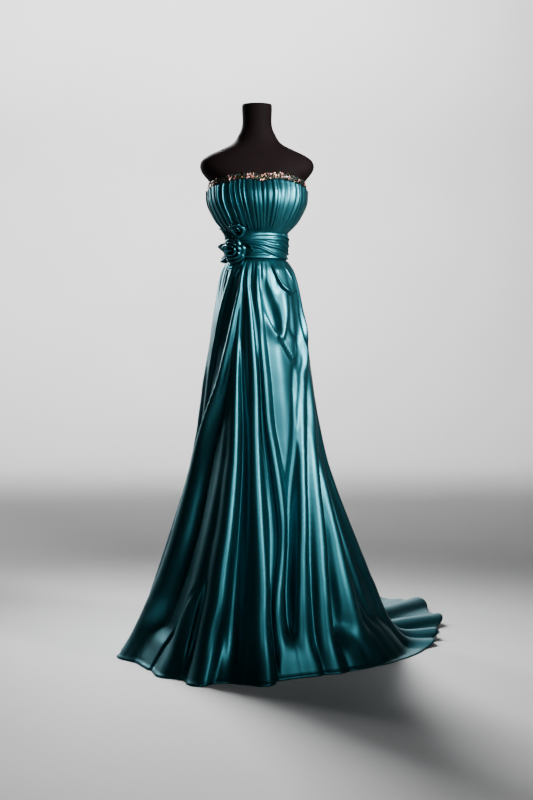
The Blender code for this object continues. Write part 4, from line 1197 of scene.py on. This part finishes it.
def loop_surface(middle_x, middle_y, long, short, tilt, first, last, ribbon):
    """A ribbon on its edge along an oval: up through its width it leans outwards and waves."""
    length, across = grid_of(1.0, 0.0, *LOOP_GRID)
    turn = np.radians(first + (last - first) * length)
    flare = 1.0 + 0.22 * across + 0.05 * np.sin(3.0 * turn) * across
    x, y = long * np.cos(turn) * flare, short * np.sin(turn) * flare
    cosine, sine = math.cos(math.radians(tilt)), math.sin(math.radians(tilt))
    lift = ribbon * across * (0.55 + 0.45 * np.sin(np.pi * length) ** 0.5)
    along, up = middle_x + cosine * x - sine * y, middle_y + sine * x + cosine * y
    return on_rosette(along, up, WALL + lift)


def tail_surface():
    """A narrow ribbon along the tail's middle line, raised along its centre."""
    across, length = grid_of(-1.0, 1.0, *TAIL_GRID)
    x = smooth_table(TAIL, 1, length) - TAIL_HALF_WIDTH * across * (1.0 - 0.4 * length)
    return on_rosette(x, smooth_table(TAIL, 2, length), WALL + TAIL_RISE * (1.0 - across**2))


for name, below, *shape in LEAVES:
    rosette_piece(f"rosette_leaf_{name}", [leaf_surface(*shape)], f"{below}_satin")
for name, below, *shape in LOOPS:
    rosette_piece(f"rosette_loop_{name}", [loop_surface(*shape)], f"{below}_satin")
rosette_piece("rosette_tail", [tail_surface()], "skirt_front_satin")

# %% [markdown]
# ## Cut pieces
#
# Each piece's area comes from the surface that we made, as satin hardly stretches: it is the cut of
# what shows, without what is folded under. The loop below only picks out the stones and sequins
# sewn to the front trim.


for name, (piece, grids, area, held, below) in cuts.items():
    sewn = [stones, sequins] if name == "neck_trim_front_net" else []

# %% [markdown]
# ## Floor and light
#
# A pale floor turns up into a wall, far enough behind to walk round the gown. The key is a soft
# panel from the front right, high enough to leave the hollows dark; a weak fill stands in front.
# Two panels behind draw the outline, two light the wall and floor. The room is nearly dark: satin
# is part mirror, and needs something dark to reflect.

# %% Stage
STAGE_TURN = 3.0
STAGE_FRONT, STAGE_BACK = -14.0, 9.5
STAGE_HALF_WIDTH = 14.0
STAGE_HEIGHT = 9.0
WORLD_STRENGTH = 0.04

pale = Finish("pale_floor", Roughness=0.7)
pale.colour(pale.noise(pale.where(), 1.2, detail=3.0), (0.60, 0.60, 0.60), (0.66, 0.66, 0.66))
turn = np.linspace(0.0, math.pi / 2.0, 17)
bend = STAGE_BACK - STAGE_TURN + STAGE_TURN * np.sin(turn)
depths = np.concatenate([[STAGE_FRONT], bend, [STAGE_BACK]])
heights = np.concatenate([[0.0], STAGE_TURN * (1.0 - np.cos(turn)), [STAGE_HEIGHT]])
edges = [
    np.stack([np.full_like(depths, side * STAGE_HALF_WIDTH), depths, heights], axis=-1)
    for side in (-1.0, 1.0)
]
floor_mesh = mesh_of("floor", np.stack(edges, axis=1), quads_of(len(depths), 2))
floor_mesh.materials.append(pale.material)
floor = link("floor", floor_mesh)

# Light, where it is, what it aims at, width, height, watts, spread in degrees.
LIGHTS = (
    ("key_light", (2.6, -2.35, 2.6), (0.05, 0.0, 1.30), 0.9, 1.3, 9.6, 29.0),
    ("fill_light", (0.7, -3.8, 2.3), (0.0, 0.0, 1.42), 1.4, 1.4, 4.6, 36.0),
    ("back_light", (-0.9, 3.5, 3.9), (0.0, 0.3, 1.0), 1.2, 1.2, 30.0, 45.0),
    ("side_light", (-2.4, 3.0, 2.2), (0.0, 0.3, 0.9), 0.8, 1.4, 6.0, 45.0),
    ("wall_light", (0.0, 6.0, 6.2), (0.0, 9.5, 2.4), 8.0, 1.0, 420.0, 120.0),
    ("floor_light", (0.0, 4.5, 6.5), (0.0, 4.5, 0.0), 8.0, 4.0, 50.0, 90.0),
)
for name, where, aim, wide, tall, power, spread in LIGHTS:
    panel = bpy.data.lights.new(name, "AREA")
    panel.shape = "RECTANGLE"
    panel.size, panel.size_y = wide, tall
    panel.energy, panel.spread = power, math.radians(spread)
    lamp = link(name, panel)
    lamp.location = where
    lamp.rotation_euler = (Vector(aim) - Vector(where)).to_track_quat("-Z", "Y").to_euler()

world = bpy.data.worlds.new("studio")
world.use_nodes = True
background = world.node_tree.nodes["Background"].inputs
background["Color"].default_value = (0.62, 0.63, 0.65, 1.0)
background["Strength"].default_value = WORLD_STRENGTH
bpy.context.scene.world = world
bpy.context.scene.view_settings.look = "AgX - Medium High Contrast"
print("stage:", len(floor_mesh.polygons), "faces,", len(LIGHTS), "lights")
